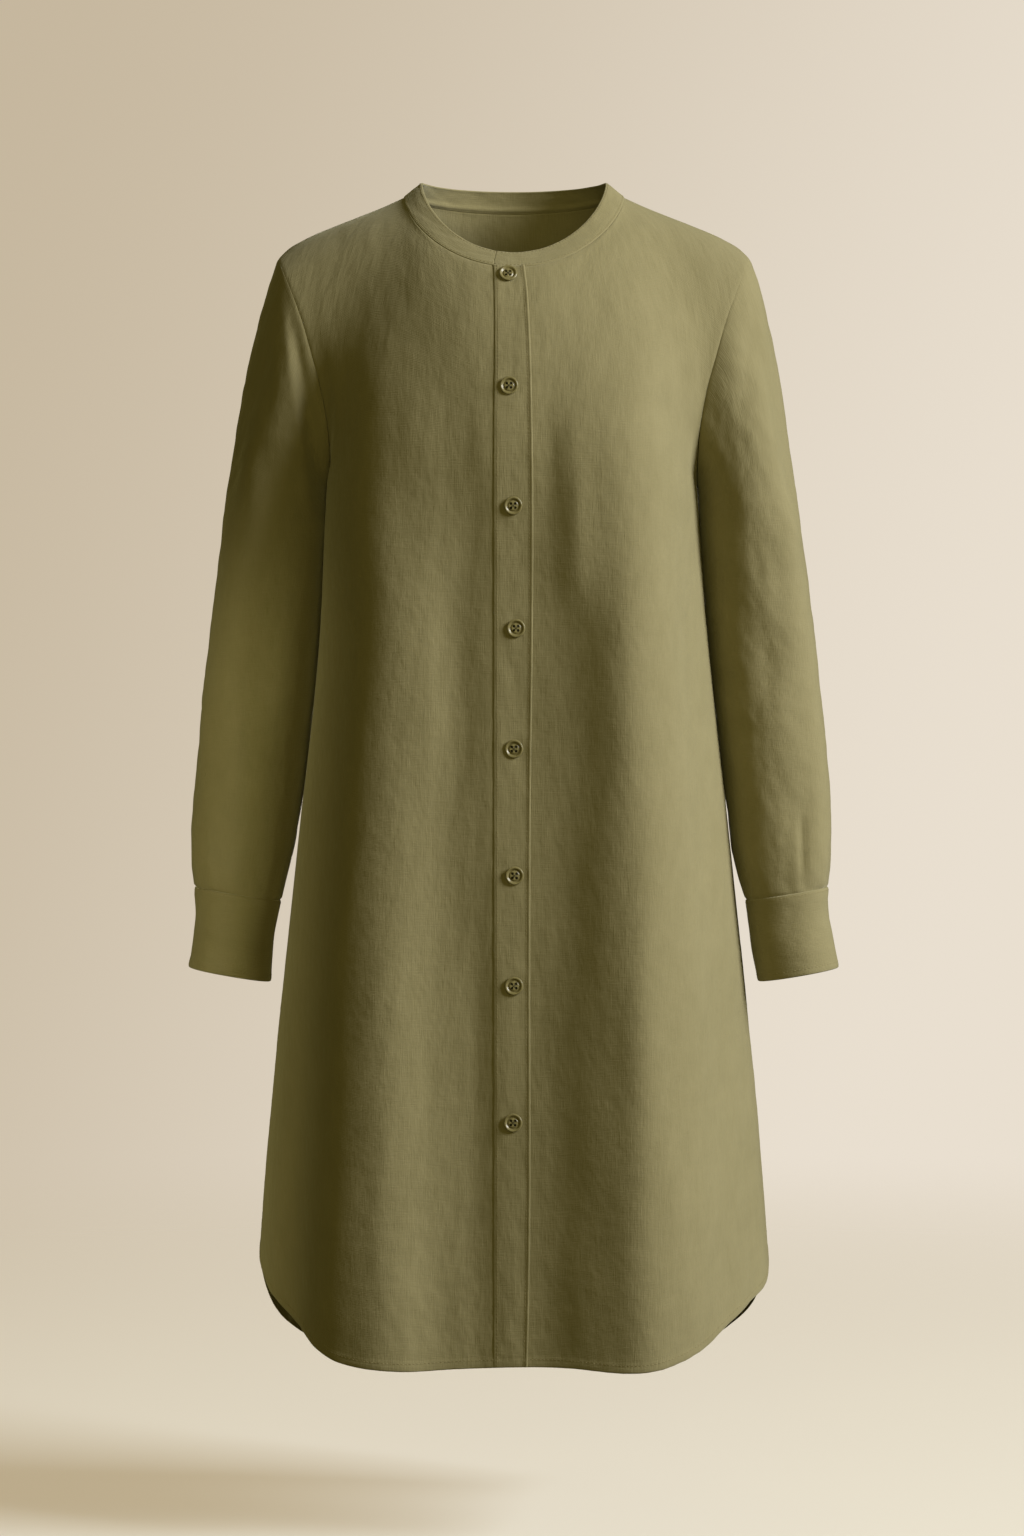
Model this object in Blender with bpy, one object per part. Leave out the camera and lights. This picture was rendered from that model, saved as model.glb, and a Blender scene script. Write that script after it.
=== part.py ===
"""A collarless shirt dress of soft olive cloth, in the hollow form that it takes when worn.

Metres, +Z up. The front faces -Y and +X is the wearer's left. The origin is the middle of the
neck opening, level with the sides of the neck, where the shoulders hold the dress up.

Each piece of cloth is a wall: a grid of points on its outer face and the same grid moved in
by the cloth's thickness. The body's grids run across (share, -1 at the wearer's right side
seam, 0 at the middle, 1 at the left side seam) and up (level, 0 at the hem, 1 at the armpit,
2 at the neck and shoulder seams).
"""

import math

import bpy
import mathutils.kdtree
import numpy as np

# Cloth, in metres
CLOTH = 0.0016
DOUBLE_CLOTH = 0.0020
SEAM_GAP = 0.0002  # each piece stops this short of its seam
SAME_PLACE = 0.00001

# Body
ARMPIT = -0.262
SQUARENESS = 2.3  # 2 is an ellipse
FRONT, BACK = -1, 1
BODY = (
    # height, half width, front depth, back depth
    (-1.045, 0.2240, 0.1480, 0.1520),
    (-0.935, 0.2215, 0.1470, 0.1480),
    (-0.852, 0.2156, 0.1450, 0.1440),
    (-0.712, 0.2025, 0.1410, 0.1350),
    (-0.575, 0.1882, 0.1360, 0.1250),
    (-0.445, 0.1737, 0.1310, 0.1160),
    (-0.363, 0.1662, 0.1295, 0.1130),
    (ARMPIT, 0.1595, 0.1320, 0.1160),
)
FRONT_FOLDS = (
    # share at top, share at hem, upper end, lower end, width as a share, height
    (0.00, 0.00, -0.10, -1.20, 0.16, -0.0060),
    (0.43, 0.335, -0.06, -1.20, 0.16, 0.0250),
    (0.31, 0.275, -0.14, -1.20, 0.08, 0.0080),
    (-0.19, -0.18, -0.12, -1.20, 0.09, -0.0070),
    (-0.46, -0.40, -0.08, -1.20, 0.12, 0.0130),
    (-0.66, -0.57, -0.62, -1.20, 0.08, -0.0045),
    (0.74, 0.68, -0.70, -1.20, 0.08, -0.0030),
)
BACK_FOLDS = (
    # share at top, share at hem, upper end, lower end, width as a share, height
    (0.02, 0.02, -0.14, -1.20, 0.16, -0.0130),
    (-0.42, -0.34, -0.08, -1.20, 0.12, 0.0100),
    (0.40, 0.36, -0.08, -1.20, 0.12, 0.0090),
    (-0.68, -0.60, -0.55, -1.20, 0.08, -0.0045),
    (0.70, 0.63, -0.60, -1.20, 0.08, -0.0040),
)
FOLD_FADE = 0.26
FRONT_HEM = (
    # share, height
    (-1.00, -0.926),
    (-0.86, -0.946),
    (-0.68, -0.974),
    (-0.54, -0.996),
    (-0.42, -1.012),
    (-0.28, -1.0168),
    (-0.12, -1.0135),
    (0.00, -1.0117),
    (0.14, -1.0125),
    (0.28, -1.0162),
    (0.42, -1.0085),
    (0.54, -0.9868),
    (0.68, -0.9585),
    (0.86, -0.9380),
    (1.00, -0.9240),
)
BACK_HEM = (
    # share, height
    (-1.00, -0.926),
    (-0.86, -0.962),
    (-0.68, -1.004),
    (-0.50, -1.028),
    (-0.25, -1.035),
    (0.00, -1.036),
    (0.25, -1.035),
    (0.50, -1.026),
    (0.68, -1.000),
    (0.86, -0.960),
    (1.00, -0.924),
)

# Neck: the band's seam and its free edge
NECK_SHARE = 0.5  # the neck's part of each front's and of the back's upper edge
NECK_ROUNDING = 0.02
NECK_POWER = 1.2
NECK = (
    # way up the band, half width, front depth, back depth, side, front and back height
    (0.0, 0.0960, 0.0850, 0.0660, -0.0085, -0.0822, -0.0172),
    (1.0, 0.0807, 0.0720, 0.0600, 0.0030, -0.0688, 0.0010),
)

# Shoulder seam and armholes, on the wearer's left
SHOULDER = (
    # outward, height
    (0.0960, -0.0119),
    (0.1152, -0.0205),
    (0.1371, -0.0292),
    (0.1571, -0.0370),
    (0.1837, -0.0487),
    (0.1993, -0.0585),
    (0.2065, -0.0665),
)
SHOULDER_DEPTH = 0.002
FRONT_ARMHOLE = (
    # outward, back, height
    (0.1595, 0.000, ARMPIT),
    (0.1590, -0.028, -0.247),
    (0.1600, -0.046, -0.222),
    (0.1660, -0.055, -0.185),
    (0.1740, -0.057, -0.155),
    (0.1820, -0.053, -0.127),
    (0.1915, -0.043, -0.101),
    (0.2005, -0.028, -0.0795),
    (0.2052, -0.013, -0.0690),
    (0.2065, SHOULDER_DEPTH, -0.0665),
)
BACK_ARMHOLE = (
    # outward, back, height
    (0.1595, 0.000, ARMPIT),
    (0.1590, 0.028, -0.249),
    (0.1610, 0.048, -0.224),
    (0.1680, 0.059, -0.185),
    (0.1760, 0.061, -0.150),
    (0.1840, 0.056, -0.121),
    (0.1940, 0.045, -0.095),
    (0.2017, 0.031, -0.0770),
    (0.2055, 0.017, -0.0685),
    (0.2065, SHOULDER_DEPTH, -0.0665),
)
FRONT_ARRIVAL = (
    # share, then the way in which the chest runs into the neck and shoulder seams
    (0.00, 0.000, 0.100, 0.140),
    (0.25, -0.010, 0.125, 0.120),
    (0.50, -0.015, 0.150, 0.070),
    (0.75, -0.010, 0.165, 0.040),
    (1.00, 0.000, 0.120, 0.010),
)
BACK_ARRIVAL = (
    # share, then the way in which the back runs into the neck and shoulder seams
    (0.00, 0.000, -0.070, 0.190),
    (0.25, -0.010, -0.110, 0.130),
    (0.50, -0.015, -0.150, 0.030),
    (0.75, -0.010, -0.165, -0.010),
    (1.00, 0.000, -0.120, -0.010),
)
EDGE_SPREAD = 0.22  # the chest and back run up to the seams as if these had no corner
EDGE_STEPS = 4
EDGE_REACH = 6.0  # how fast the corner's shape fades below the seams
ARMHOLE_CUT = 0.22  # the armholes' bite into the body's shares
ARMHOLE_RISE = 0.8
ARMHOLE_REACH = 3.0  # how fast the armhole's shape fades towards the middle

# Placket, on the body's outer face
PLACKET_LIFT = 0.0004
FRONT_EDGE = -0.010  # where the two fronts end, under the placket
PLACKET = (
    # height, wearer's right edge, left edge
    (-1.020, -0.0172, 0.0112),
    (-0.950, -0.0172, 0.0128),
    (-0.650, -0.0172, 0.0136),
    (-0.520, -0.0172, 0.0142),
    (-0.420, -0.0172, 0.0156),
    (-0.230, -0.0172, 0.0156),
    (-0.140, -0.0172, 0.0134),
    (-0.100, -0.0174, 0.0110),
    (-0.080, -0.0176, 0.0086),
)

# Buttons
BUTTON_RADIUS = 0.0078
BUTTON_SIDES = 14
BUTTON_LIFT = 0.0006  # the length of its thread
BUTTON_RINGS = (
    # share of the radius, height above the placket, from the back to the dished face
    (0.86, 0.0000),
    (1.00, 0.0010),
    (1.00, 0.0020),
    (0.88, 0.0028),
    (0.72, 0.0026),
    (0.60, 0.0016),
)
BUTTONS = (
    # outward, height
    (-0.0051, -0.0898),
    (-0.0042, -0.1881),
    (-0.0008, -0.2893),
    (0.0017, -0.3925),
    (0.0000, -0.4940),
    (0.0004, -0.6005),
    (0.0000, -0.6930),
    (-0.0008, -0.8075),
)

# Sleeves, their outward distances as on the wearer's left
RIGHT, LEFT = -1, 1
SLEEVE_START = -0.300
CUFF_TOP = -0.6195
CUFF_BOTTOM = -0.6885
SLEEVE_SQUARENESS = 2.15
SLEEVE = (
    # height, right sleeve's outer and inner side, left one's, front, back, tilt of the ring
    (-0.705, 0.2838, 0.2116, 0.2854, 0.2134, -0.0530, 0.0240, 0.176),
    (CUFF_BOTTOM, 0.2828, 0.2113, 0.2820, 0.2117, -0.0520, 0.0240, 0.176),
    (-0.660, 0.2774, 0.2098, 0.2758, 0.2071, -0.0500, 0.0230, 0.176),
    (-0.640, 0.2762, 0.2071, 0.2731, 0.2049, -0.0490, 0.0230, 0.170),
    (CUFF_TOP, 0.2773, 0.2029, 0.2731, 0.2015, -0.0490, 0.0250, 0.160),
    (-0.600, 0.2803, 0.1986, 0.2753, 0.1960, -0.0500, 0.0320, 0.150),
    (-0.575, 0.2808, 0.1925, 0.2764, 0.1899, -0.0480, 0.0470, 0.135),
    (-0.538, 0.2785, 0.1862, 0.2758, 0.1857, -0.0450, 0.0590, 0.110),
    (-0.450, 0.2720, 0.1746, 0.2687, 0.1746, -0.0400, 0.0740, 0.060),
    (-0.363, 0.2628, 0.1664, 0.2594, 0.1664, -0.0410, 0.0790, 0.020),
    (SLEEVE_START, 0.2552, 0.1616, 0.2511, 0.1616, -0.0460, 0.0780, 0.000),
)
SLEEVE_LEAVING = (
    # turn round the armhole from the shoulder, then the way in which the sleeve leaves it
    (-0.25, 0.085, 0.020, -0.090),
    (0.00, 0.070, 0.000, -0.190),
    (0.25, 0.085, -0.020, -0.090),
    (0.50, 0.009, 0.016, -0.034),
    (0.75, 0.085, 0.020, -0.090),
    (1.00, 0.070, 0.000, -0.190),
    (1.25, 0.085, -0.020, -0.090),
)
SLEEVE_FOLDS = (
    # turn at top, turn at bottom, upper end, lower end, width as a turn, height
    (0.10, 0.08, -0.13, -0.30, 0.045, -0.0035),
    (0.13, 0.10, -0.24, -0.62, 0.060, 0.0030),
    (0.24, 0.26, -0.36, -0.48, 0.050, -0.0030),
    (0.72, 0.80, -0.30, -0.52, 0.060, -0.0030),
    (0.90, 0.88, -0.20, -0.50, 0.050, 0.0025),
)
SLEEVE_FOLD_FADE = 0.06

# How finely the pieces are cut
NECK_COLUMNS = 7
SHOULDER_COLUMNS = 5
LOWER_ROWS = 16
UPPER_ROWS = 9
BAND_ROWS = 3
CAP_ROWS = 7
ARM_ROWS = 11
CUFF_ROWS = 4


def ease(way):
    """Smooth step from 0 to 1."""
    way = np.clip(way, 0.0, 1.0)
    return way * way * (3.0 - 2.0 * way)


def along(table, at):
    """The other columns of a table at values of its first one, on a smooth curve."""
    rows = np.array(sorted(table), dtype=float)
    keys = rows[:, 0]
    values = rows[:, 1:]
    slopes = np.gradient(values, keys, axis=0)
    at = np.asarray(at, dtype=float)
    low = np.clip(np.searchsorted(keys, at, side="right") - 1, 0, len(keys) - 2)
    step = (keys[low + 1] - keys[low])[..., None]
    way = np.clip((at - keys[low])[..., None] / step, 0.0, 1.0)
    return hermite(values[low], slopes[low] * step, values[low + 1], slopes[low + 1] * step, way)


def hermite(start, leaving, end, arriving, way):
    """The cubic from start to end with the given tangents."""
    square = way * way
    cube = square * way
    return (
        start * (2.0 * cube - 3.0 * square + 1.0)
        + leaving * (cube - 2.0 * square + way)
        + end * (3.0 * square - 2.0 * cube)
        + arriving * (cube - square)
    )


def by_length(points, way):
    """Places on a curve through points, at shares of its length."""
    points = np.array(points, dtype=float)
    steps = np.linalg.norm(np.diff(points, axis=0), axis=1)
    reached = np.concatenate([[0.0], np.cumsum(steps)]) / steps.sum()
    return along(np.column_stack([reached, points]).tolist(), way)


def folds(table, across, height, fade):
    """How far the folds of a table stand out at places across and heights."""
    total = np.zeros(np.broadcast(across, height).shape)
    for at_top, at_bottom, top, bottom, width, rise in table:
        way = np.clip((top - height) / (top - bottom), 0.0, 1.0)
        middle = at_top + (at_bottom - at_top) * way
        ends = ease((top - height) / fade) * ease((height - bottom) / fade)
        total += rise * ends * np.exp(-(((across - middle) / width) ** 2))
    return total


def ring(share, height, facing):
    """The body below the armpits: a rounded section whose size follows BODY."""
    half_width, front, back = np.moveaxis(along(BODY, height), -1, 0)
    depth = front if facing == FRONT else back
    angle = share * math.pi / 2
    sine, cosine = np.sin(angle), np.cos(angle)
    squared = np.abs(sine) ** SQUARENESS + np.abs(cosine) ** SQUARENESS
    reach = squared ** (-1.0 / SQUARENESS)
    table = FRONT_FOLDS if facing == FRONT else BACK_FOLDS
    rise = folds(table, share, height, FOLD_FADE)
    x = half_width * reach * sine + rise * sine
    y = facing * (depth * reach * cosine + rise * cosine)
    return np.stack([x, y, height], axis=-1)


def neck_loop(turn, way):
    """The neck band's outer face: turn 0 at the front, 1 and -1 at the sides, 2 at the back."""
    angle = turn * math.pi / 2
    shape = np.moveaxis(along(NECK, way), -1, 0)
    half_width, front, back, side_height, front_height, back_height = shape
    cosine = np.cos(angle)
    rounded = np.sqrt(cosine**2 + NECK_ROUNDING)
    ahead = ((rounded + cosine) / 2) ** NECK_POWER
    behind = ((rounded - cosine) / 2) ** NECK_POWER
    x = half_width * np.sin(angle)
    y = np.where(cosine > 0, -front, -back) * cosine
    z = side_height + (front_height - side_height) * ahead + (back_height - side_height) * behind
    return np.stack([x, y, z], axis=-1)


def upper_edge(share, facing):
    """The neck seam, then the shoulder seam."""
    size = np.abs(share)
    turn = np.clip(size / NECK_SHARE, 0.0, 1.0)
    turn = turn if facing == FRONT else 2.0 - turn
    neck = neck_loop(turn, np.zeros_like(turn))
    way = np.clip((size - NECK_SHARE) / (1.0 - NECK_SHARE), 0.0, 1.0)
    inner, outer = SHOULDER[0][0], SHOULDER[-1][0]
    x = inner + (outer - inner) * way
    z = along(SHOULDER, x)[..., 0]
    shoulder = np.stack([x, SHOULDER_DEPTH * way, z], axis=-1)
    point = np.where((size > NECK_SHARE)[..., None], shoulder, neck)
    point[..., 0] *= np.where(share < 0, -1.0, 1.0)
    return point


def rounded_edge(share, facing):
    """The upper edge without its corner: the mean of its points to both sides."""
    spread = np.minimum(EDGE_SPREAD, 1.0 - np.abs(share))
    total = np.zeros((*share.shape, 3))
    weights = 0.0
    for step in range(-EDGE_STEPS, EDGE_STEPS + 1):
        weight = EDGE_STEPS + 1 - abs(step)
        total += weight * upper_edge(share + spread * step / EDGE_STEPS, facing)
        weights += weight
    return total / weights


def armhole(way, facing):
    """The wearer's left armhole seam, from the armpit to the shoulder."""
    return by_length(FRONT_ARMHOLE if facing == FRONT else BACK_ARMHOLE, way)


def rising(share, way, facing):
    """The chest or back, from the armpits' level to the neck and shoulder seams."""
    small = 0.01
    way = way[..., None]
    armpits = np.full_like(share, ARMPIT)
    start = ring(share, armpits, facing)
    end = rounded_edge(share, facing)
    slope = (start - ring(share, armpits - small, facing)) / small
    leaving = slope * (end - start)[..., 2:]
    arriving = along(FRONT_ARRIVAL if facing == FRONT else BACK_ARRIVAL, np.abs(share))
    corner = upper_edge(share, facing) - end
    return hermite(start, leaving, end, arriving, way) + corner * way**EDGE_REACH


def body(share, level, facing):
    """The outer face of the body's cloth."""
    share, level = np.broadcast_arrays(share, level)
    hem = along(FRONT_HEM if facing == FRONT else BACK_HEM, share)[..., 0]
    lower = ring(share, hem + (ARMPIT - hem) * np.clip(level, 0.0, 1.0), facing)
    way = np.clip(level - 1.0, 0.0, 1.0)
    cut = 1.0 - ARMHOLE_CUT * np.sin(math.pi * way**ARMHOLE_RISE)
    side = np.where(share < 0, -cut, cut)
    seam = armhole(way, facing)
    seam[..., 0] *= np.sign(side)
    pull = (np.abs(share) ** ARMHOLE_REACH)[..., None]
    upper = rising(share * cut, way, facing) + pull * (seam - rising(side, way, facing))
    return np.where((level > 1.0)[..., None], upper, lower)


def share_at(x, level):
    """The share of the front at which its outer face has the given x, near the middle."""
    step = 0.04
    level = np.asarray(level, dtype=float)
    middle = body(np.zeros_like(level), level, FRONT)[..., 0]
    beside = body(np.full_like(level, step), level, FRONT)[..., 0]
    return (x - middle) / (beside - middle) * step


def normals(grid, closed=False):
    """Unit normals of a grid whose rows run up and columns run right, seen from outside."""
    if closed:
        grid = np.concatenate([grid[:, -1:], grid, grid[:, :1]], axis=1)
    normal = np.cross(np.gradient(grid, axis=1), np.gradient(grid, axis=0))
    normal /= np.linalg.norm(normal, axis=-1, keepdims=True)
    return normal[:, 1:-1] if closed else normal


def drawn_in(grid, gaps):
    """The grid with its bottom, top, left and right edges drawn in by the given gaps."""
    grid = grid.copy()
    edges = ((0, 0, 1), (0, -1, -2), (1, 0, 1), (1, -1, -2))
    for gap, (axis, edge, beside) in zip(gaps, edges):
        line = grid[edge] if axis == 0 else grid[:, edge]
        inner = grid[beside] if axis == 0 else grid[:, beside]
        line += gap * across_seam(line, inner)
    return grid


def across_seam(line, inner):
    """Unit directions from an edge of a grid towards its next line, square to the edge."""
    along_edge = np.gradient(line, axis=0)
    along_edge /= np.linalg.norm(along_edge, axis=-1, keepdims=True)
    way = inner - line
    way -= (way * along_edge).sum(axis=-1, keepdims=True) * along_edge
    return way / np.linalg.norm(way, axis=-1, keepdims=True)


class Cloth:
    """A piece of cloth: its outer face as a grid, seen from outside, and its normals."""

    def __init__(self, name, grid, thickness, gaps, closed=False):
        self.name = name
        self.grid = grid
        self.thickness = thickness
        self.gaps = gaps
        self.closed = closed
        self.normal = normals(grid, closed)


def match_normals(pieces):
    """Gives points that meet at a seam one normal, so that the walls' ends lie face to face."""
    points = np.concatenate([piece.grid.reshape(-1, 3) for piece in pieces])
    own = np.concatenate([piece.normal.reshape(-1, 3) for piece in pieces])
    tree = mathutils.kdtree.KDTree(len(points))
    for number, point in enumerate(points):
        tree.insert(point, number)
    tree.balance()
    shared = own.copy()
    for number, point in enumerate(points):
        for _, other, _ in tree.find_range(point, SAME_PLACE):
            if other != number and own[number] @ own[other] > 0.0:
                shared[number] += own[other]
    shared /= np.linalg.norm(shared, axis=-1, keepdims=True)
    first = 0
    for piece in pieces:
        count = piece.normal.shape[0] * piece.normal.shape[1]
        piece.normal = shared[first : first + count].reshape(piece.normal.shape)
        first += count


def strip(first, second):
    """Quads between two runs of vertex numbers."""
    quads = zip(first[:-1], first[1:], second[1:], second[:-1])
    return [tuple(map(int, quad)) for quad in quads]


def wall_faces(rows, columns, closed):
    """Quads of a wall whose outer points come first, row by row, and then its inner points."""
    outer = np.arange(rows * columns).reshape(rows, columns)
    if closed:
        outer = np.concatenate([outer, outer[:, :1]], axis=1)
    inner = outer + rows * columns
    faces = strip(inner[0], outer[0]) + strip(outer[-1], inner[-1])
    for row in range(rows - 1):
        faces += strip(outer[row], outer[row + 1])
        faces += strip(inner[row + 1], inner[row])
    if not closed:
        faces += strip(outer[:, 0], inner[:, 0])
        faces += strip(inner[:, -1], outer[:, -1])
    return faces


def make_object(name, points, faces, material):
    mesh = bpy.data.meshes.new(name)
    mesh.from_pydata(points, [], faces)
    mesh.update()
    mesh.shade_smooth()
    mesh.set_sharp_from_angle(angle=math.radians(40.0))
    mesh.materials.append(material)
    made = bpy.data.objects.new(name, mesh)
    bpy.context.collection.objects.link(made)
    return made


def make_wall(piece, material):
    """The piece of cloth as one closed body."""
    outer = drawn_in(piece.grid, piece.gaps)
    inner = outer - piece.thickness * piece.normal
    points = np.concatenate([outer.reshape(-1, 3), inner.reshape(-1, 3)])
    faces = wall_faces(*piece.grid.shape[:2], piece.closed)
    make_object(piece.name, points.tolist(), faces, material)


def body_levels():
    """Rows from the hem to the neck and shoulders."""
    lower = np.linspace(0.0, 1.0, LOWER_ROWS + 1)
    upper = 1.0 + np.linspace(0.0, 1.0, UPPER_ROWS + 1)
    return np.concatenate([lower, upper[1:]])[:, None]


def half_shares():
    """Columns from the middle to the side, one of them at the side of the neck."""
    neck = np.linspace(0.0, NECK_SHARE, NECK_COLUMNS + 1)
    shoulder = np.linspace(NECK_SHARE, 1.0, SHOULDER_COLUMNS + 1)
    return np.concatenate([neck, shoulder[1:]])[None, :]


def fronts():
    """The two fronts, which end side by side under the placket."""
    levels = body_levels()
    edge = share_at(FRONT_EDGE, levels)
    half = np.broadcast_to(half_shares(), (len(levels), half_shares().shape[1]))
    left = np.concatenate([edge, half], axis=1)
    right = np.concatenate([-half[:, :0:-1], edge], axis=1)
    gaps = (0.0, SEAM_GAP, SEAM_GAP, SEAM_GAP)
    return [
        Cloth("front_right", body(right, levels, FRONT), CLOTH, gaps),
        Cloth("front_left", body(left, levels, FRONT), CLOTH, gaps),
    ]


def back():
    half = half_shares()
    shares = np.concatenate([half[:, :0:-1], -half], axis=1)
    gaps = (0.0, SEAM_GAP, SEAM_GAP, SEAM_GAP)
    return Cloth("back", body(shares, body_levels(), BACK), CLOTH, gaps)


def neck_band():
    """The band, whose two ends meet in line with the placket's edge."""
    opening = float(share_at(PLACKET[-1][1], 2.0)) / NECK_SHARE
    turns = np.arange(4 * NECK_COLUMNS) / NECK_COLUMNS
    turns = np.concatenate([[opening], turns, [opening + 4.0]])[None, :]
    ways = np.linspace(0.0, 1.0, BAND_ROWS + 1)[:, None]
    turns, ways = np.broadcast_arrays(turns, ways)
    gaps = (2 * SEAM_GAP, 0.0, SEAM_GAP, SEAM_GAP)
    return Cloth("collar_band", neck_loop(turns, ways), DOUBLE_CLOTH, gaps)


def placket():
    """The raised strip over the ends of the fronts."""
    levels = body_levels()
    heights = body(np.zeros_like(levels), levels, FRONT)[:, 0, 2]
    right, left = along(PLACKET, heights).T
    middle = np.zeros_like(right)
    across = np.stack([right, middle + FRONT_EDGE, middle, left], axis=1)
    shares = share_at(across, np.broadcast_to(levels, across.shape))
    gaps = (0.0, 2 * SEAM_GAP, 0.0, 0.0)
    piece = Cloth("placket", body(shares, levels, FRONT), CLOTH, gaps)
    piece.grid = piece.grid + (PLACKET_LIFT + CLOTH) * piece.normal
    return piece


def placket_frame(grid, across, height):
    """A point of the placket by its x and height, and the directions right, up and out."""
    middle = grid[:, 2]
    row = int(np.searchsorted(middle[:, 2], height)) - 1
    way = (height - middle[row, 2]) / (middle[row + 1, 2] - middle[row, 2])
    line = grid[row] + (grid[row + 1] - grid[row]) * way
    point = np.array([np.interp(across, line[:, 0], line[:, axis]) for axis in range(3)])
    up = middle[row + 1] - middle[row]
    out = np.cross(line[-1] - line[0], up)
    out /= np.linalg.norm(out)
    right = np.cross((0.0, 0.0, 1.0), out)
    right /= np.linalg.norm(right)
    return point, right, np.cross(out, right), out


def make_button(name, frame, material):
    """A flat button with a raised rim, lying on the placket."""
    point, right, up, out = frame
    base = point + BUTTON_LIFT * out
    angles = np.arange(BUTTON_SIDES) * 2 * math.pi / BUTTON_SIDES
    spokes = np.outer(np.cos(angles), right) + np.outer(np.sin(angles), up)
    rims = [base + BUTTON_RADIUS * reach * spokes + rise * out for reach, rise in BUTTON_RINGS]
    top = base + BUTTON_RINGS[-1][1] * out
    points = np.concatenate([base[None, :], *rims, top[None, :]])
    numbers = 1 + np.arange(len(rims) * BUTTON_SIDES).reshape(len(rims), BUTTON_SIDES)
    numbers = np.concatenate([numbers, numbers[:, :1]], axis=1)
    faces = []
    for lower, upper in zip(numbers[:-1], numbers[1:]):
        faces += strip(lower, upper)
    for side in range(BUTTON_SIDES):
        faces.append((0, int(numbers[0, side + 1]), int(numbers[0, side])))
        faces.append((len(points) - 1, int(numbers[-1, side]), int(numbers[-1, side + 1])))
    make_object(name, points.tolist(), faces, material)


def sleeve_section(side, turn, height):
    """A sleeve below its cap: turn 0 outside, 0.25 front, 0.5 inside."""
    shape = np.moveaxis(along(SLEEVE, height), -1, 0)
    outer, inner = shape[:2] if side == RIGHT else shape[2:4]
    front, back_edge, tilt = shape[4:]
    angle = turn * 2 * math.pi
    sine, cosine = np.sin(angle), np.cos(angle)
    squared = np.abs(sine) ** SLEEVE_SQUARENESS + np.abs(cosine) ** SLEEVE_SQUARENESS
    reach = squared ** (-1.0 / SLEEVE_SQUARENESS)
    x = (outer - inner) / 2 * reach * cosine
    y = (front - back_edge) / 2 * reach * sine
    middle_x, middle_y = (outer + inner) / 2, (front + back_edge) / 2
    return np.stack([middle_x + x, middle_y + y, height + tilt * x], axis=-1)


def armhole_loop(turn):
    """The wearer's left armhole seam: turn 0 and 1 at the shoulder, 0.25 front, 0.5 armpit."""
    front = armhole(np.clip(1.0 - 2.0 * turn, 0.0, 1.0), FRONT)
    behind = armhole(np.clip(2.0 * turn - 1.0, 0.0, 1.0), BACK)
    return np.where((turn < 0.5)[..., None], front, behind)


def sleeve(side, turn, level):
    """A sleeve's outer face: level 0 at the armhole, 1 below the cap, 2 at the cuff's seam."""
    turn, level = np.broadcast_arrays(turn, level)
    step = 0.01
    top = np.full(turn.shape, SLEEVE_START)
    start = armhole_loop(turn)
    end = sleeve_section(side, turn, top)
    length = np.linalg.norm(end - start, axis=-1, keepdims=True)
    down = (sleeve_section(side, turn, top - step) - end) / step
    way = np.clip(level, 0.0, 1.0)[..., None]
    cap = hermite(start, along(SLEEVE_LEAVING, turn), end, down * length, way)
    height = SLEEVE_START + (CUFF_TOP - SLEEVE_START) * np.clip(level - 1.0, 0.0, 1.0)
    point = np.where((level > 1.0)[..., None], sleeve_section(side, turn, height), cap)
    rise = folds(SLEEVE_FOLDS, turn, point[..., 2], SLEEVE_FOLD_FADE)
    angle = turn * 2 * math.pi
    outward = np.stack([np.cos(angle), -np.sin(angle), np.zeros_like(angle)], axis=-1)
    return point + rise[..., None] * outward


def sleeve_turns():
    """Columns round a sleeve, each on a row of the body's armhole."""
    return np.arange(2 * UPPER_ROWS)[None, :] / (2 * UPPER_ROWS)


def tube(name, side, grid, thickness, gaps):
    """A tube of cloth on an arm, from rows that run down it as on the wearer's left."""
    if side == LEFT:
        upward = grid[::-1, ::-1]
    else:
        upward = grid[::-1] * np.array([-1.0, 1.0, 1.0])
    full_name = f"{name}_left" if side == LEFT else f"{name}_right"
    return Cloth(full_name, upward, thickness, gaps, closed=True)


def arm_piece(side):
    cap = np.linspace(0.0, 1.0, CAP_ROWS + 1)
    arm = np.linspace(1.0, 2.0, ARM_ROWS + 1)
    levels = np.concatenate([cap, arm[1:]])[:, None]
    grid = sleeve(side, sleeve_turns(), levels)
    return tube("sleeve", side, grid, CLOTH, (SEAM_GAP, 2 * SEAM_GAP))


def cuff(side):
    heights = np.linspace(CUFF_TOP, CUFF_BOTTOM, CUFF_ROWS + 1)[:, None]
    turns, heights = np.broadcast_arrays(sleeve_turns(), heights)
    grid = sleeve_section(side, turns, heights)
    return tube("cuff", side, grid, DOUBLE_CLOTH, (0.0, SEAM_GAP))


def make_material(name, colour, roughness):
    material = bpy.data.materials.new(name)
    material.use_nodes = True
    shader = material.node_tree.nodes["Principled BSDF"]
    shader.inputs["Base Color"].default_value = (*colour, 1.0)
    shader.inputs["Roughness"].default_value = roughness
    shader.inputs["Metallic"].default_value = 0.0
    return material


def main():
    for thing in list(bpy.data.objects):
        bpy.data.objects.remove(thing, do_unlink=True)
    cloth = make_material("olive cloth", (0.150, 0.140, 0.060), 0.85)
    plastic = make_material("olive plastic", (0.130, 0.120, 0.055), 0.35)
    arms = [arm_piece(RIGHT), arm_piece(LEFT), cuff(RIGHT), cuff(LEFT)]
    pieces = [*fronts(), back(), neck_band(), *arms]
    match_normals(pieces)
    for piece in pieces:
        make_wall(piece, cloth)
    strip_piece = placket()
    make_wall(strip_piece, cloth)
    for number, (across, height) in enumerate(BUTTONS, start=1):
        frame = placket_frame(strip_piece.grid, across, height)
        make_button(f"button_{number}", frame, plastic)


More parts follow.
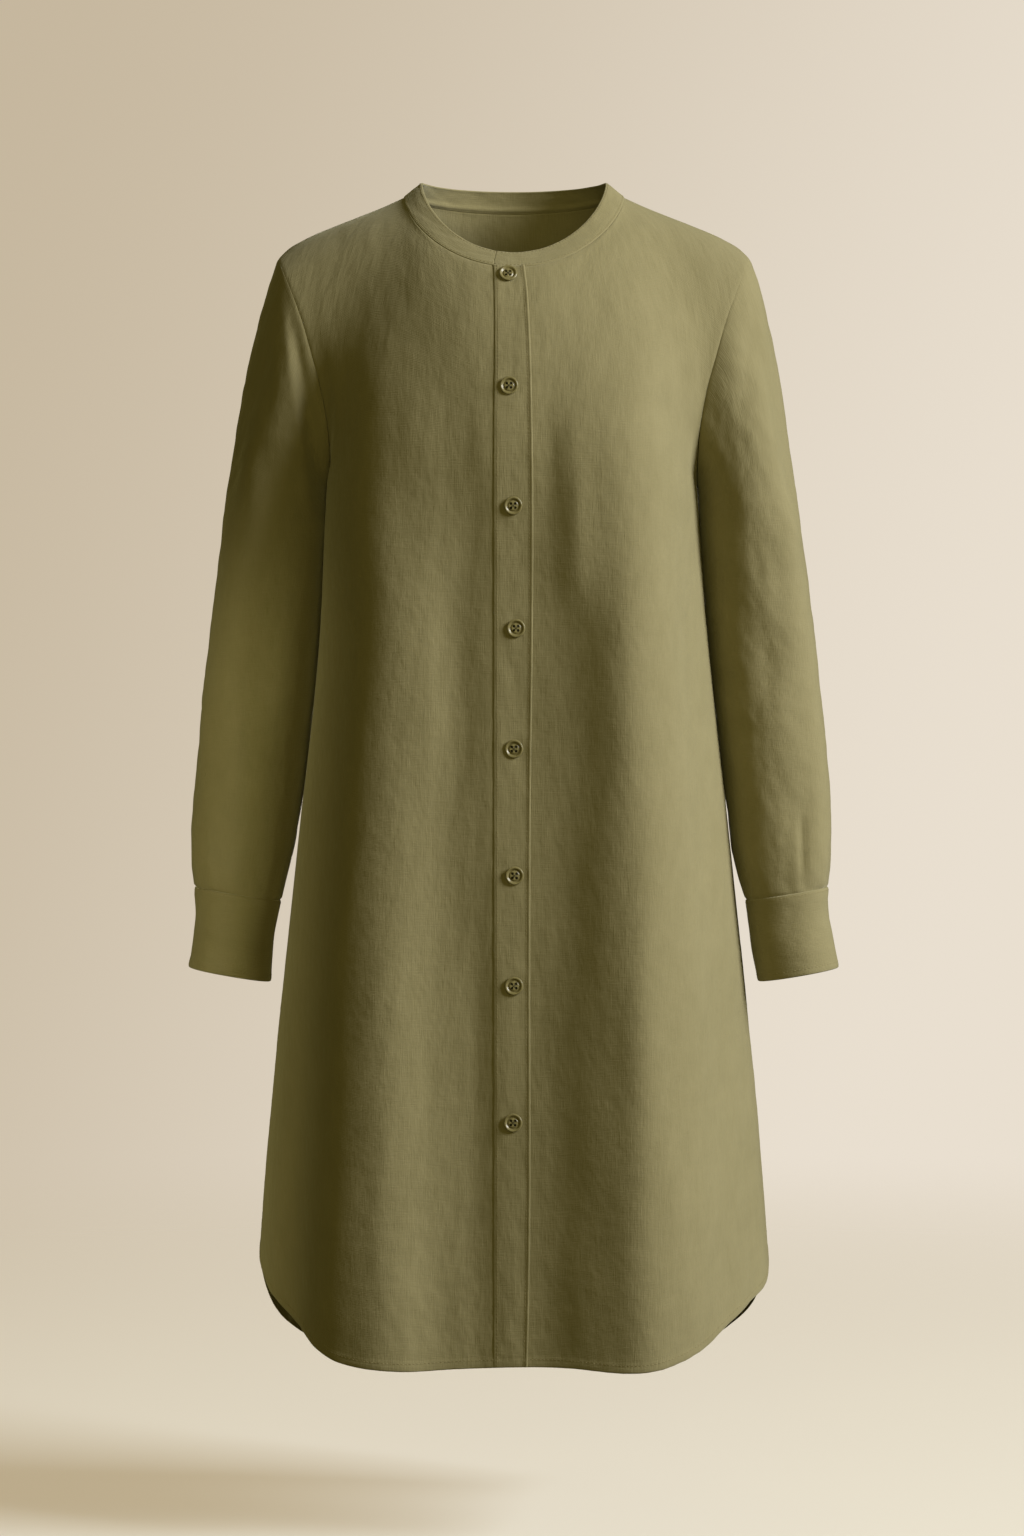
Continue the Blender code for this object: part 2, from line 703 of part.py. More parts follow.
main()
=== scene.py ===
"""A collarless shirt dress of soft olive cloth in its hollow, worn form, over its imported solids.

Metres, +Z up, in the solids' frame: the front faces -Y and +X is the wearer's left. Each piece
of cloth is a thin shell on its solid's outer face, sampled finely, with its creases, hems, seams
and stitches in their real sizes.
"""

import math

import bmesh
import bpy
import numpy as np
from mathutils import Matrix, Vector


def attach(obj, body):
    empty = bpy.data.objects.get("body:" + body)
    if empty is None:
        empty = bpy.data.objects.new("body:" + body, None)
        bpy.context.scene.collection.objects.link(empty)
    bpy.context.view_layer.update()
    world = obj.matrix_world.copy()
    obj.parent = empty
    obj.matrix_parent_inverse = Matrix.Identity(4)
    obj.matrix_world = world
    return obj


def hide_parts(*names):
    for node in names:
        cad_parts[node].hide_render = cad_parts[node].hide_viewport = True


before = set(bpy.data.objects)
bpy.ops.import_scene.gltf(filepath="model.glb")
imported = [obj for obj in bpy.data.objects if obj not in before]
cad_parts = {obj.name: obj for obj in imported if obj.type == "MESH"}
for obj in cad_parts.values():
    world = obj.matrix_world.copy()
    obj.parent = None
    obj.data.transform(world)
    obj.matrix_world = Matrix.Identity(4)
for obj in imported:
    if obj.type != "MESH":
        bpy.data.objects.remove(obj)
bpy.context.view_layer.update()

MM = 0.001
TURN = 2 * math.pi

# Cloth, in metres
CLOTH = 0.0008
DOUBLE_CLOTH = 0.0016
EDGE_ROUND = 0.35  # how far a shell's rounded edge stands out, as a share of its thickness

# Body
ARMPIT = -0.262
SQUARENESS = 2.3  # 2 is an ellipse
FRONT, BACK = -1, 1
BODY = (
    # height, half width, front depth, back depth
    (-1.045, 0.224, 0.148, 0.152), (-0.935, 0.2215, 0.147, 0.148), (-0.852, 0.2156, 0.145, 0.144),
    (-0.712, 0.2025, 0.141, 0.135), (-0.575, 0.1882, 0.136, 0.125), (-0.445, 0.1737, 0.131, 0.116),
    (-0.363, 0.1662, 0.1295, 0.113), (ARMPIT, 0.1595, 0.132, 0.116),
)
FRONT_FOLDS = (
    # share at top, share at hem, upper end, lower end, width as a share, height
    (0, 0, -0.1, -1.2, 0.16, -0.006),
    (0.43, 0.335, -0.06, -1.2, 0.16, 0.025),
    (0.31, 0.275, -0.14, -1.2, 0.08, 0.008),
    (-0.19, -0.18, -0.12, -1.2, 0.09, -0.007),
    (-0.46, -0.4, -0.08, -1.2, 0.12, 0.013),
    (-0.66, -0.57, -0.62, -1.2, 0.08, -0.0045),
    (0.74, 0.68, -0.7, -1.2, 0.08, -0.003),
)
BACK_FOLDS = (
    (0.02, 0.02, -0.14, -1.2, 0.16, -0.013),
    (-0.42, -0.34, -0.08, -1.2, 0.12, 0.01),
    (0.4, 0.36, -0.08, -1.2, 0.12, 0.009),
    (-0.68, -0.6, -0.55, -1.2, 0.08, -0.0045),
    (0.7, 0.63, -0.6, -1.2, 0.08, -0.004),
)
FOLD_FADE = 0.26
FRONT_HEM = (
    # share, height
    (-1, -0.926), (-0.86, -0.941), (-0.68, -0.968), (-0.54, -0.9895), (-0.42, -1.0078),
    (-0.28, -1.0153), (-0.12, -1.0135), (0, -1.0117), (0.14, -1.0115), (0.28, -1.0132),
    (0.42, -1.001), (0.54, -0.983), (0.68, -0.968), (0.86, -0.951), (1, -0.93),
)
BACK_HEM = (
    (-1, -0.926), (-0.86, -0.962), (-0.68, -1.004), (-0.5, -1.028), (-0.25, -1.035),
    (0, -1.036), (0.25, -1.035), (0.5, -1.026), (0.68, -1), (0.86, -0.96), (1, -0.924),
)

# Neck: the band's seam and its free edge
NECK_SHARE = 0.5  # the neck's part of each front's and of the back's upper edge
NECK_ROUNDING = 0.02
NECK_POWER = 1.2
NECK = (
    # way up the band, half width, front depth, back depth, side, front and back height
    (0, 0.096, 0.085, 0.066, -0.0085, -0.0822, -0.0172),
    (1, 0.0807, 0.072, 0.06, 0.003, -0.0688, 0.001),
)

# Shoulder seam and armholes, on the wearer's left
SHOULDER = (
    # outward, height
    (0.096, -0.0119), (0.1152, -0.0205), (0.1371, -0.0292), (0.1571, -0.037), (0.1837, -0.0487),
    (0.1993, -0.0585), (0.2065, -0.0665),
)
SHOULDER_DEPTH = 0.002
FRONT_ARMHOLE = (
    # outward, back, height
    (0.1595, 0, ARMPIT), (0.159, -0.028, -0.247), (0.16, -0.046, -0.222), (0.166, -0.055, -0.185),
    (0.174, -0.057, -0.155), (0.182, -0.053, -0.127), (0.1915, -0.043, -0.101),
    (0.2005, -0.028, -0.0795), (0.2052, -0.013, -0.069), (0.2065, SHOULDER_DEPTH, -0.0665),
)
BACK_ARMHOLE = (
    (0.1595, 0, ARMPIT), (0.159, 0.028, -0.249), (0.161, 0.048, -0.224), (0.168, 0.059, -0.185),
    (0.176, 0.061, -0.15), (0.184, 0.056, -0.121), (0.194, 0.045, -0.095), (0.2017, 0.031, -0.077),
    (0.2055, 0.017, -0.0685), (0.2065, SHOULDER_DEPTH, -0.0665),
)
FRONT_ARRIVAL = (
    # share, then the way in which the chest runs into the neck and shoulder seams
    (0, 0, 0.1, 0.14), (0.25, -0.01, 0.125, 0.12), (0.5, -0.015, 0.15, 0.07),
    (0.75, -0.01, 0.165, 0.04), (1, 0, 0.12, 0.01),
)
BACK_ARRIVAL = (
    # share, then the way in which the back runs into the neck and shoulder seams
    (0, 0, -0.07, 0.19), (0.25, -0.01, -0.11, 0.13), (0.5, -0.015, -0.15, 0.03),
    (0.75, -0.01, -0.165, -0.01), (1, 0, -0.12, -0.01),
)
EDGE_SPREAD = 0.22  # the chest and back run up to the seams as if these had no corner
EDGE_STEPS = 4
EDGE_REACH = 6  # how fast the corner's shape fades below the seams
ARMHOLE_CUT = 0.22  # the armholes' bite into the body's shares
ARMHOLE_RISE = 0.8
ARMHOLE_REACH = 3  # how fast the armhole's shape fades towards the middle

# Placket, on the body's outer face
FRONT_EDGE = -0.010  # where the two fronts end, under the placket
PLACKET = (
    # height, wearer's right edge, left edge
    (-1.02, -0.0172, 0.0112), (-0.95, -0.0172, 0.0128), (-0.65, -0.0172, 0.0136),
    (-0.52, -0.0172, 0.0142), (-0.42, -0.0172, 0.0156), (-0.23, -0.0172, 0.0156),
    (-0.14, -0.0172, 0.0134), (-0.1, -0.0174, 0.011), (-0.08, -0.0176, 0.0086),
)

# Buttons
BUTTON_RADIUS = 0.0078
BUTTONS = (
    # outward, height
    (-0.0051, -0.0898), (-0.0042, -0.1881), (-0.0008, -0.2893), (0.0017, -0.3925), (0, -0.494),
    (0.0004, -0.6005), (0, -0.693), (-0.0008, -0.8075),
)

# Sleeves, their outward distances as on the wearer's left
RIGHT, LEFT = -1, 1
SIDE_NAMES = {RIGHT: "right", LEFT: "left"}
SLEEVE_START = -0.300
CUFF_TOP = -0.6195
CUFF_BOTTOM = -0.6885
SLEEVE_SQUARENESS = 2.15
SLEEVE = (
    # height, right sleeve's outer and inner side, left one's, front, back, tilt of the ring
    (-0.705, 0.2838, 0.2116, 0.2854, 0.2134, -0.053, 0.024, 0.176),
    (CUFF_BOTTOM, 0.2828, 0.2113, 0.282, 0.2117, -0.052, 0.024, 0.176),
    (-0.66, 0.2774, 0.2098, 0.2758, 0.2071, -0.05, 0.023, 0.176),
    (-0.64, 0.2762, 0.2071, 0.2731, 0.2049, -0.049, 0.023, 0.17),
    (CUFF_TOP, 0.2773, 0.2029, 0.2731, 0.2015, -0.049, 0.025, 0.16),
    (-0.6, 0.2803, 0.1986, 0.2753, 0.196, -0.05, 0.032, 0.15),
    (-0.575, 0.2808, 0.1925, 0.2764, 0.1899, -0.048, 0.047, 0.135),
    (-0.538, 0.2785, 0.1862, 0.2758, 0.1857, -0.045, 0.059, 0.11),
    (-0.45, 0.272, 0.1746, 0.2687, 0.1746, -0.04, 0.074, 0.06),
    (-0.363, 0.2628, 0.1664, 0.2594, 0.1664, -0.041, 0.079, 0.02),
    (SLEEVE_START, 0.2552, 0.1616, 0.2511, 0.1616, -0.046, 0.078, 0),
)
SLEEVE_LEAVING = (
    # turn round the armhole from the shoulder, then the way in which the sleeve leaves it
    (-0.25, 0.085, 0.02, -0.09), (0, 0.07, 0, -0.19), (0.25, 0.085, -0.02, -0.09),
    (0.5, 0.009, 0.016, -0.034), (0.75, 0.085, 0.02, -0.09), (1, 0.07, 0, -0.19),
    (1.25, 0.085, -0.02, -0.09),
)
SLEEVE_FOLDS = (
    # turn at top, turn at bottom, upper end, lower end, width as a turn, height
    (0.1, 0.08, -0.13, -0.3, 0.045, -0.0035),
    (0.13, 0.1, -0.24, -0.62, 0.06, 0.003),
    (0.24, 0.26, -0.36, -0.48, 0.05, -0.003),
    (0.72, 0.8, -0.3, -0.52, 0.06, -0.003),
    (0.9, 0.88, -0.2, -0.5, 0.05, 0.0025),
)
SLEEVE_FOLD_FADE = 0.06

# Creases, in millimetres in the view from the front: across and height of each end, bow, width,
# height. The bow is how far the middle lies to the left of the line from end to end.
FRONT_CREASES = (
    (-30, -400, -33, -1250, 0, 9, -0.8), (-124, -85, -127, -390, 0, 24, 4.8),
    (-148, -100, -148, -420, 0, 28, 4.2), (137, -90, 134, -220, 0, 26, 3.6),
    (-119, -560, -123, -1250, 0, 20, 2.4), (-30, -560, -29, -1250, 0, 20, -3),
    (108, -560, 106, -1250, 0, 20, 2.8), (56, -580, 53, -1250, 0, 20, 2.6),
    (82, -460, 78, -1250, 0, 26, 5.2), (-145, -560, -162, -1250, 0, 20, 2.6),
    (-96, -560, -100, -1250, 0, 24, 4.8), (48, -170, 56, -440, 0, 15, 1.4),
    (51.2, -242.2, 48.7, -385.2, 2, 8, 1), (28.6, -200, 32.8, -335, 0, 11, -1.4),
    (-192.5, -705, -206, -970, 3, 12, 1.6), (-158, -700, -164, -1000, 3, 15, -1.8),
    (189, -710, 208, -750, -2, 5, -0.6), (191, -760, 212, -805, -2, 5, -0.7),
    (190, -820, 212, -865, -2, 6, -0.6), (-143, -150, -126, -230, -4, 12, -1.2),
    (144, -160, 118, -220, 4, 11, -1.2), (-78, -260, -72, -560, 3, 13, 0.8),
    (-124, -330, -130, -620, 3, 16, -1), (85, -550, 83, -950, 3, 14, -1.2),
    (-56, -720, -64, -990, -2, 14, 0.8), (-108, -760, -118, -990, 2, 11, 0.9),
    (133, -780, 138, -990, -2, 12, 0.9),
)
BACK_CREASES = (
    (-40, -120, -52, -460, 4, 14, 1.2), (48, -140, 56, -500, -4, 15, 1.1),
    (4, -300, 6, -980, 3, 18, -1.6), (-150, -130, -120, -230, 6, 11, -1.4),
    (152, -135, 123, -225, -6, 11, -1.3), (-93, -420, -104, -970, 4, 15, -1.3),
    (98, -450, 110, -960, -4, 15, -1.4), (-165, -560, -182, -940, 4, 13, 1.4),
    (166, -580, 185, -930, -4, 13, 1.4), (10, -50, 80, -70, 5, 12, -0.8),
)
SLEEVE_FRONT_CREASES = {
    # across as on the wearer's left
    RIGHT: (
        (201, -92, 172, -320, 0, 4.8, 1.3), (214, -120, 207, -230, 3, 8, -1.3),
        (192.5, -88, 158, -320, 0, 8.8, -4), (227, -210, 233, -355, -6, 13, 1.6),
        (238, -440, 240, -610, 3, 10, 1.2), (259, -380, 260, -600, 2, 7, -1),
        (233, -606, 236, -621, 0, 4, 1),
    ),
    LEFT: (
        (203, -110, 193, -240, 3, 9, -1.8), (193, -240, 180, -362, -2, 9, -1.4),
        (209, -80, 228, -200, -2, 4, 1.2), (175, -420, 196, -448, 3, 8, -1.6),
        (183, -465, 204, -490, 3, 8, -1.6), (261, -500, 260, -615, 0, 7, 1.4),
        (248, -540, 249, -614, 0, 3, -2.2), (242, -260, 252, -440, -4, 12, 1),
    ),
}
SLEEVE_BACK_CREASES = {
    # across as on the wearer's left
    RIGHT: (
        (206, -100, 197, -250, 3, 7, 1.3), (230, -230, 195, -330, 5, 11, -1.6),
        (250, -390, 205, -430, 6, 10, -1.7), (256, -450, 215, -485, 6, 9, 1.2),
        (255, -520, 247, -614, 2, 4, -2.2), (225, -500, 225, -614, 2, 7, 1),
    ),
    LEFT: (
        (205, -105, 196, -255, 3, 7, 1.3), (233, -240, 197, -340, 5, 11, -1.6),
        (248, -385, 203, -420, 6, 10, -1.7), (254, -445, 213, -480, 6, 9, 1.2),
        (253, -520, 245, -614, 2, 4, -2.2), (225, -510, 224, -614, 2, 7, 1),
    ),
}
CREASE_START, CREASE_SPREAD = 0.75, 0.5  # a crease widens along its length
CREASE_FADE = 0.35  # and fades in over this share of it at both ends

# Unevenness of the cloth: height, length and stretch of the bumps
WAVES = 14  # how many are laid over each other
WAVE_LENGTHS = (0.7, 1.6)  # as shares of the length
BODY_WAVES = (0.00022, 0.055, 2.2)
BODY_SMALL_WAVES = (0.00006, 0.016, 1.6)
SKIRT_WAVES = (0.00007, 0.032, 0.22)
HEM_WAVES = (0.00022, 0.012, 1)
BAND_WAVES = (0.0001, 0.026, 1)
PLACKET_WAVES = (0.00007, 0.016, 1.6)
PLACKET_SMALL_WAVES = (0.00006, 0.016, 2)
SLEEVE_WAVES = (0.00035, 0.045, 1.4)
SLEEVE_SMALL_WAVES = (0.00014, 0.016, 1.2)
SLEEVE_GATHER = (0.0005, 0.016, 1)
CUFF_WAVES = (0.0004, 0.045, 1)
SLEEVE_SLANT, SLEEVE_TURN, SLEEVE_SMALL_TURN, CUFF_TURN = 0.15, 1.3, 1.1, 0.3
BODY_SEEDS = {FRONT: 3, BACK: 11}
BAND_SEED = 21
PLACKET_SEED = 31
SLEEVE_SEEDS = {RIGHT: 41, LEFT: 51}
CUFF_SEEDS = {RIGHT: 61, LEFT: 71}

# Where the unevenness fades out, in metres from an edge or seam
TOP_FADE = 0.030
SIDE_FADE = 0.022
SKIRT_TOP, SKIRT_FADE = -0.42, 0.25
HEM_FADE = 0.012
BAND_FADE = 0.004
ARMHOLE_FADE = 0.018
CUFF_FADE = 0.008
GATHER_START, GATHER_REACH = 0.003, 0.020

# Ridges, or dips with a negative height, along edges and seams: distance, height, reach
SEAM_DIP = (0, -0.0004, 0.0014)
HEM_EDGE = (0, -0.0003, 0.001)
HEM_STITCHING = (0.0065, -0.00025, 0.0008)
PLACKET_HEM_STITCHING = (0.0075, -0.0002, 0.0008)
PLACKET_RIDGE = (0.0011, 0.0006, 0.001)
BUTTON_DENT = (0, -0.00045, 0.0075)
BUTTON_PUCKER = (0.013, 0.00018, 0.004)
BAND_SEAM = (0, -0.0002, 0.0014)
BAND_EDGE = (0, -0.0003, 0.0012)
BAND_STITCHING = (0.0022, -0.00018, 0.0007)
BAND_END = (0, -0.00012, 0.0014)
BAND_ROLL = (0.0034, 0.0014, 0.002)  # inside, round its seam
ARMHOLE_DIP = (0, -0.0003, 0.0014)
SLEEVE_CUFF_DIP = (0, -0.0011, 0.0024)
CUFF_EDGE = (0, -0.0004, 0.0013)
CUFF_SEAM = (0.0095, -0.0003, 0.0009)
CUFF_STITCHING = (0.005, -0.00018, 0.0007)

# Sewing, in metres
HEM_TURN, HEM_RISE, HEM_STEP = 0.0075, 0.0004, 0.0012
BAND_LIFT = 0.0004
CUFF_LIFT = 0.0005
PLACKET_RISE = 0.0009
PLACKET_CLOTH = 0.65 * PLACKET_RISE
PLACKET_BEVEL, PLACKET_BEVEL_REACH = 0.45, 0.0009
PLACKET_CROWN = 0.000175
STITCH, STITCH_PITCH, STITCH_START = 0.0026, 0.0033, 0.1
THREAD, THREAD_WIDENING = 0.00017, 1.15
STITCH_RINGS = (
    # share of its length, size, lift in thread radii
    (0.02, 0.35, 0.2), (0.25, 1, 0.7), (0.75, 1, 0.7), (0.98, 0.35, 0.2),
)
STITCH_CORNERS = np.array((0.8, 2.4, 3.9, 5.5))  # directions of its section's corners
HEM_STITCH_LINE = HEM_TURN - 0.0012
PLACKET_STITCH_LINES = (0.0030, 0.0034)
BAND_STITCH_LINE = 0.0016
CUFF_STITCH_LINES = (0.0018, 0.0050)

# How finely the pieces are cut, in metres: steps, and places close to an edge
FEWEST_STEPS = 4
CLEARANCE = 1.3  # the first even step lies beyond the last such place times this
BODY_STEP = 0.0038
CHEST_STEP = BODY_STEP * 0.8
ARM_STEP = 0.0036
BAND_STEPS = (0.0035, 0.0016)
PLACKET_STEP = 0.0028
CUFF_STEP = 0.0034
ARM_COLUMNS = 96
EDGE_PLACES = (0.0006, 0.0014, 0.0026)
HEM_PLACES = (0.0008, 0.0022, 0.0042, 0.0062, 0.0072, 0.0082, 0.0098)
CHEST_PLACES = (0.003,)
PLACKET_PLACES = (0.0004, 0.0009, 0.0015, 0.0022, 0.0032)
BAND_END_PLACES, BAND_EDGE_PLACES = (0.0005, 0.0012), (0.0005, 0.001)
CUFF_PLACES = (0.0005, 0.0012, 0.0022)
SKIRT_LENGTH, CHEST_LENGTH = 0.75, 0.24
FRONT_WIDTH, BACK_WIDTH, PLACKET_WIDTH = 0.26, 0.52, 0.032
BAND_LENGTH, BAND_WIDTH = 0.52, 0.019
CAP_LENGTH, ARM_LENGTH = 0.20, 0.32
ARM_RADIUS, CUFF_RADIUS = 0.05, 0.036

# The chest is evened out below the corners between neck and shoulders
CHEST_ROUNDS, CHEST_PULL = 70, 0.5
CHEST_EDGE = 0.030
CHEST_BOTTOM, CHEST_FADE = -0.40, 0.12

# Sewn button: share of the radius and height above the placket, then its holes, its thread and the
# dark disc of painted shade behind the holes
BUTTON_PROFILE = (
    (0, 0), (0.6, 0), (0.86, 0.0003), (0.97, 0.0007), (1, 0.0012), (0.985, 0.0018),
    (0.94, 0.0021), (0.87, 0.0022), (0.8, 0.0021), (0.74, 0.0017), (0.68, 0.0012), (0.62, 0.0009),
    (0.57, 0.001), (0.52, 0.0014), (0.46, 0.0016), (0.3, 0.0015), (0, 0.0014),
)
DRILL_PROFILE = ((0, -0.002), (1, -0.002), (1, 0.005), (0, 0.005))
BUTTON_SIDES, DRILL_SIDES, STRAND_SIDES, STRAND_RINGS, SHADE_DISC_SIDES = 48, 16, 6, 9, 24
HOLE_RADIUS, HOLE_PLACE = 0.00118, 0.00178
STRAND_RADIUS, STRAND_APART, STRAND_REACH = 0.00013, 0.00012, 0.0026
STRAND_FOOT, STRAND_RISE = 0.0004, 0.0012
SHADE_DISC_RADIUS, SHADE_DISC_DEPTH = 0.004, 0.0004  # a dark disc behind the holes: painted shade in the holes
SHARP = math.radians(40)
SEATING = 0.0003
TILT, LEAN, LEAN_MEAN, SPIN = 0.05, 0.04, -0.03, math.radians(9)
TILT_RATE, LEAN_RATE, SPIN_RATE = 2.3, 1.7, 3.1  # from button to button
NEAR = 2  # rows and columns of the placket round a button

# Looks
DARK_CLOTH = (0.190, 0.168, 0.080)
LIGHT_CLOTH = (0.262, 0.232, 0.122)
SHEEN_TINT = (0.95, 0.93, 0.72, 1)
WEAVE_PITCH = 0.00055
BAND_SCALE = math.pi / 20  # of Blender's wave texture, for one band a metre
CLOTH_NOISE = (
    # features a metre across and up, detail, roughness, weight in the colour and bump
    (1500, 70, 2, 0.5, 0.35, 0.4),
    (90, 1300, 2, 0.5, 0.22, 0.3),
    (60, 34, 3, 0.6, 0.45, 1.2),
    (12, 9, 2, 0.5, 0.35, 0),
    (900, 900, 1, 0.5, 0.12, 0),
    (115, 70, 1, 0.5, 0, 0.9),
)
CLOTH_THREAD = (0.24, 0.20, 0.09)
# button thread made very dark as painted shade in the holes; the same colour covers the dark disc
# behind them
BUTTON_THREAD_AND_HOLE_SHADE = (0.030, 0.025, 0.010)
THREAD_TONES = (0.85, 1.15)
DARK_BUTTON = (0.125, 0.108, 0.040)
LIGHT_BUTTON = (0.225, 0.195, 0.088)

# Room, camera and lights
FLOOR, FLOOR_RADIUS, FLOOR_SIDES = -1.165, 6, 96
FLOOR_COLOUR, FLOOR_GLOW = (0.38, 0.42, 0.44, 1), (1, 0.80, 0.53, 1)
FILL, FILL_COLOUR = 0.06, (1, 0.80, 0.22, 1)
# the backdrop seen by the camera, with painted light: brighter along this way, towards the key
# light on the right
BACKDROP_WAY = (0.93, 0, -0.36)
SHADED_BACKDROP, LIT_BACKDROP = (0.560, 0.470, 0.340, 1), (0.815, 0.738, 0.630, 1)
CAMERA, LENS, SENSOR = (-0.0017, -3.5, -0.510), 93.98, 36
LIGHTS = (
    # name, place, target, width, height, power, colour, spread
    ("key", (4.98, -2.04, 2.14), (0, 0, -0.5), 2.6, 2.6, 570, (1, 0.99, 0.97), 180),
    ("front_fill", (-0.2, -3.3, 0), (0, 0, -0.5), 1.6, 1.6, 20, (1, 0.88, 0.32), 180),
    ("left_strip", (-2, -2.1, -0.61), (-0.258, -0.05, -0.73), 0.05, 0.78, 0.115, (1, 0.93, 0.6), 5),
    ("back_fill", (0, 3.6, -0.42), (0, 0, -0.48), 1, 1, 1.5, (1, 0.97, 0.88), 20),
    ("neck_light", (0.35, -1.9, 0.8), (0.02, 0.02, -0.03), 0.1, 0.1, 0.01, (1, 0.91, 0.5), 8),
)


def ease(way):
    """Smooth step from 0 to 1."""
    way = np.clip(way, 0, 1)
    return way * way * (3 - 2 * way)


def unit(vectors):
    return vectors / np.linalg.norm(vectors, axis=-1, keepdims=True)


def hermite(start, leaving, end, arriving, way):
    """The cubic from start to end with the given tangents."""
    square = way * way
    cube = square * way
    return (
        start * (2 * cube - 3 * square + 1)
        + leaving * (cube - 2 * square + way)
        + end * (3 * square - 2 * cube)
        + arriving * (cube - square)
    )


def along(table, at):
    """The other columns of a table at values of its first one, on a smooth curve."""
    rows = np.array(sorted(table), dtype=float)
    keys, values = rows[:, 0], rows[:, 1:]
    slopes = np.gradient(values, keys, axis=0)
    at = np.asarray(at, dtype=float)
    low = np.clip(np.searchsorted(keys, at, side="right") - 1, 0, len(keys) - 2)
    step = (keys[low + 1] - keys[low])[..., None]
    way = np.clip((at - keys[low])[..., None] / step, 0, 1)
    return hermite(values[low], slopes[low] * step, values[low + 1], slopes[low + 1] * step, way)


def by_length(points, way):
    """Places on a curve through points, at shares of its length."""
    points = np.array(points, dtype=float)
    steps = np.linalg.norm(np.diff(points, axis=0), axis=1)
    reached = np.concatenate([[0], np.cumsum(steps)]) / steps.sum()
    return along(np.column_stack([reached, points]).tolist(), way)


def folds(table, across, height, fade):
    """How far the folds of a table stand out at places across and heights."""
    total = np.zeros(np.broadcast(across, height).shape)
    for at_top, at_bottom, top, bottom, width, rise in table:
        way = np.clip((top - height) / (top - bottom), 0, 1)
        middle = at_top + (at_bottom - at_top) * way
        ends = ease((top - height) / fade) * ease((height - bottom) / fade)
        total += rise * ends * np.exp(-(((across - middle) / width) ** 2))
    return total


def rounded_section(angle, power):
    """An angle's sine and cosine, and how far a rounded section reaches there."""
    sine, cosine = np.sin(angle), np.cos(angle)
    return sine, cosine, (np.abs(sine) ** power + np.abs(cosine) ** power) ** (-1 / power)


def ring(share, height, facing):
    """The body below the armpits: a rounded section whose size follows BODY."""
    half_width, front, back = np.moveaxis(along(BODY, height), -1, 0)
    depth = front if facing == FRONT else back
    sine, cosine, reach = rounded_section(share * math.pi / 2, SQUARENESS)
    rise = folds(FRONT_FOLDS if facing == FRONT else BACK_FOLDS, share, height, FOLD_FADE)
    x = (half_width * reach + rise) * sine
    y = facing * (depth * reach + rise) * cosine
    return np.stack([x, y, height], axis=-1)


def neck_loop(turn, way):
    """The neck band's outer face: turn 0 at the front, 1 and -1 at the sides, 2 at the back."""
    angle = turn * math.pi / 2
    shape = np.moveaxis(along(NECK, way), -1, 0)
    half_width, front, back, side_height, front_height, back_height = shape
    cosine = np.cos(angle)
    rounded = np.sqrt(cosine**2 + NECK_ROUNDING)
    ahead = ((rounded + cosine) / 2) ** NECK_POWER
    behind = ((rounded - cosine) / 2) ** NECK_POWER
    y = np.where(cosine > 0, -front, -back) * cosine
    z = side_height + (front_height - side_height) * ahead + (back_height - side_height) * behind
    return np.stack([half_width * np.sin(angle), y, z], axis=-1)


def upper_edge(share, facing):
    """The neck seam, then the shoulder seam."""
    size = np.abs(share)
    turn = np.clip(size / NECK_SHARE, 0, 1)
    turn = turn if facing == FRONT else 2 - turn
    neck = neck_loop(turn, np.zeros_like(turn))
    way = np.clip((size - NECK_SHARE) / (1 - NECK_SHARE), 0, 1)
    inner, outer = SHOULDER[0][0], SHOULDER[-1][0]
    x = inner + (outer - inner) * way
    shoulder = np.stack([x, SHOULDER_DEPTH * way, along(SHOULDER, x)[..., 0]], axis=-1)
    point = np.where((size > NECK_SHARE)[..., None], shoulder, neck)
    point[..., 0] *= np.where(share < 0, -1, 1)
    return point


def rounded_edge(share, facing):
    """The upper edge without its corner: the mean of its points to both sides."""
    spread = np.minimum(EDGE_SPREAD, 1 - np.abs(share))
    total, weights = 0, 0
    for step in range(-EDGE_STEPS, EDGE_STEPS + 1):
        weight = EDGE_STEPS + 1 - abs(step)
        total = total + weight * upper_edge(share + spread * step / EDGE_STEPS, facing)
        weights += weight
    return total / weights


def armhole(way, facing):
    """The wearer's left armhole seam, from the armpit to the shoulder."""
    return by_length(FRONT_ARMHOLE if facing == FRONT else BACK_ARMHOLE, way)


def rising(share, way, facing):
    """The chest or back, from the armpits' level to the neck and shoulder seams."""
    small = 0.01
    way = way[..., None]
    armpits = np.full_like(share, ARMPIT)
    start = ring(share, armpits, facing)
    end = rounded_edge(share, facing)
    slope = (start - ring(share, armpits - small, facing)) / small
    leaving = slope * (end - start)[..., 2:]
    arriving = along(FRONT_ARRIVAL if facing == FRONT else BACK_ARRIVAL, np.abs(share))
    corner = upper_edge(share, facing) - end
    return hermite(start, leaving, end, arriving, way) + corner * way**EDGE_REACH


def body(share, level, facing):
    """The outer face of the body's cloth: level 0 at the hem, 1 at the armpits, 2 at the top."""
    share, level = np.broadcast_arrays(share, level)
    hem = along(FRONT_HEM if facing == FRONT else BACK_HEM, share)[..., 0]
    lower = ring(share, hem + (ARMPIT - hem) * np.clip(level, 0, 1), facing)
    way = np.clip(level - 1, 0, 1)
    cut = 1 - ARMHOLE_CUT * np.sin(math.pi * way**ARMHOLE_RISE)
    side = np.where(share < 0, -cut, cut)
    seam = armhole(way, facing)
    seam[..., 0] *= np.sign(side)
    pull = (np.abs(share) ** ARMHOLE_REACH)[..., None]
    upper = rising(share * cut, way, facing) + pull * (seam - rising(side, way, facing))
    return np.where((level > 1)[..., None], upper, lower)


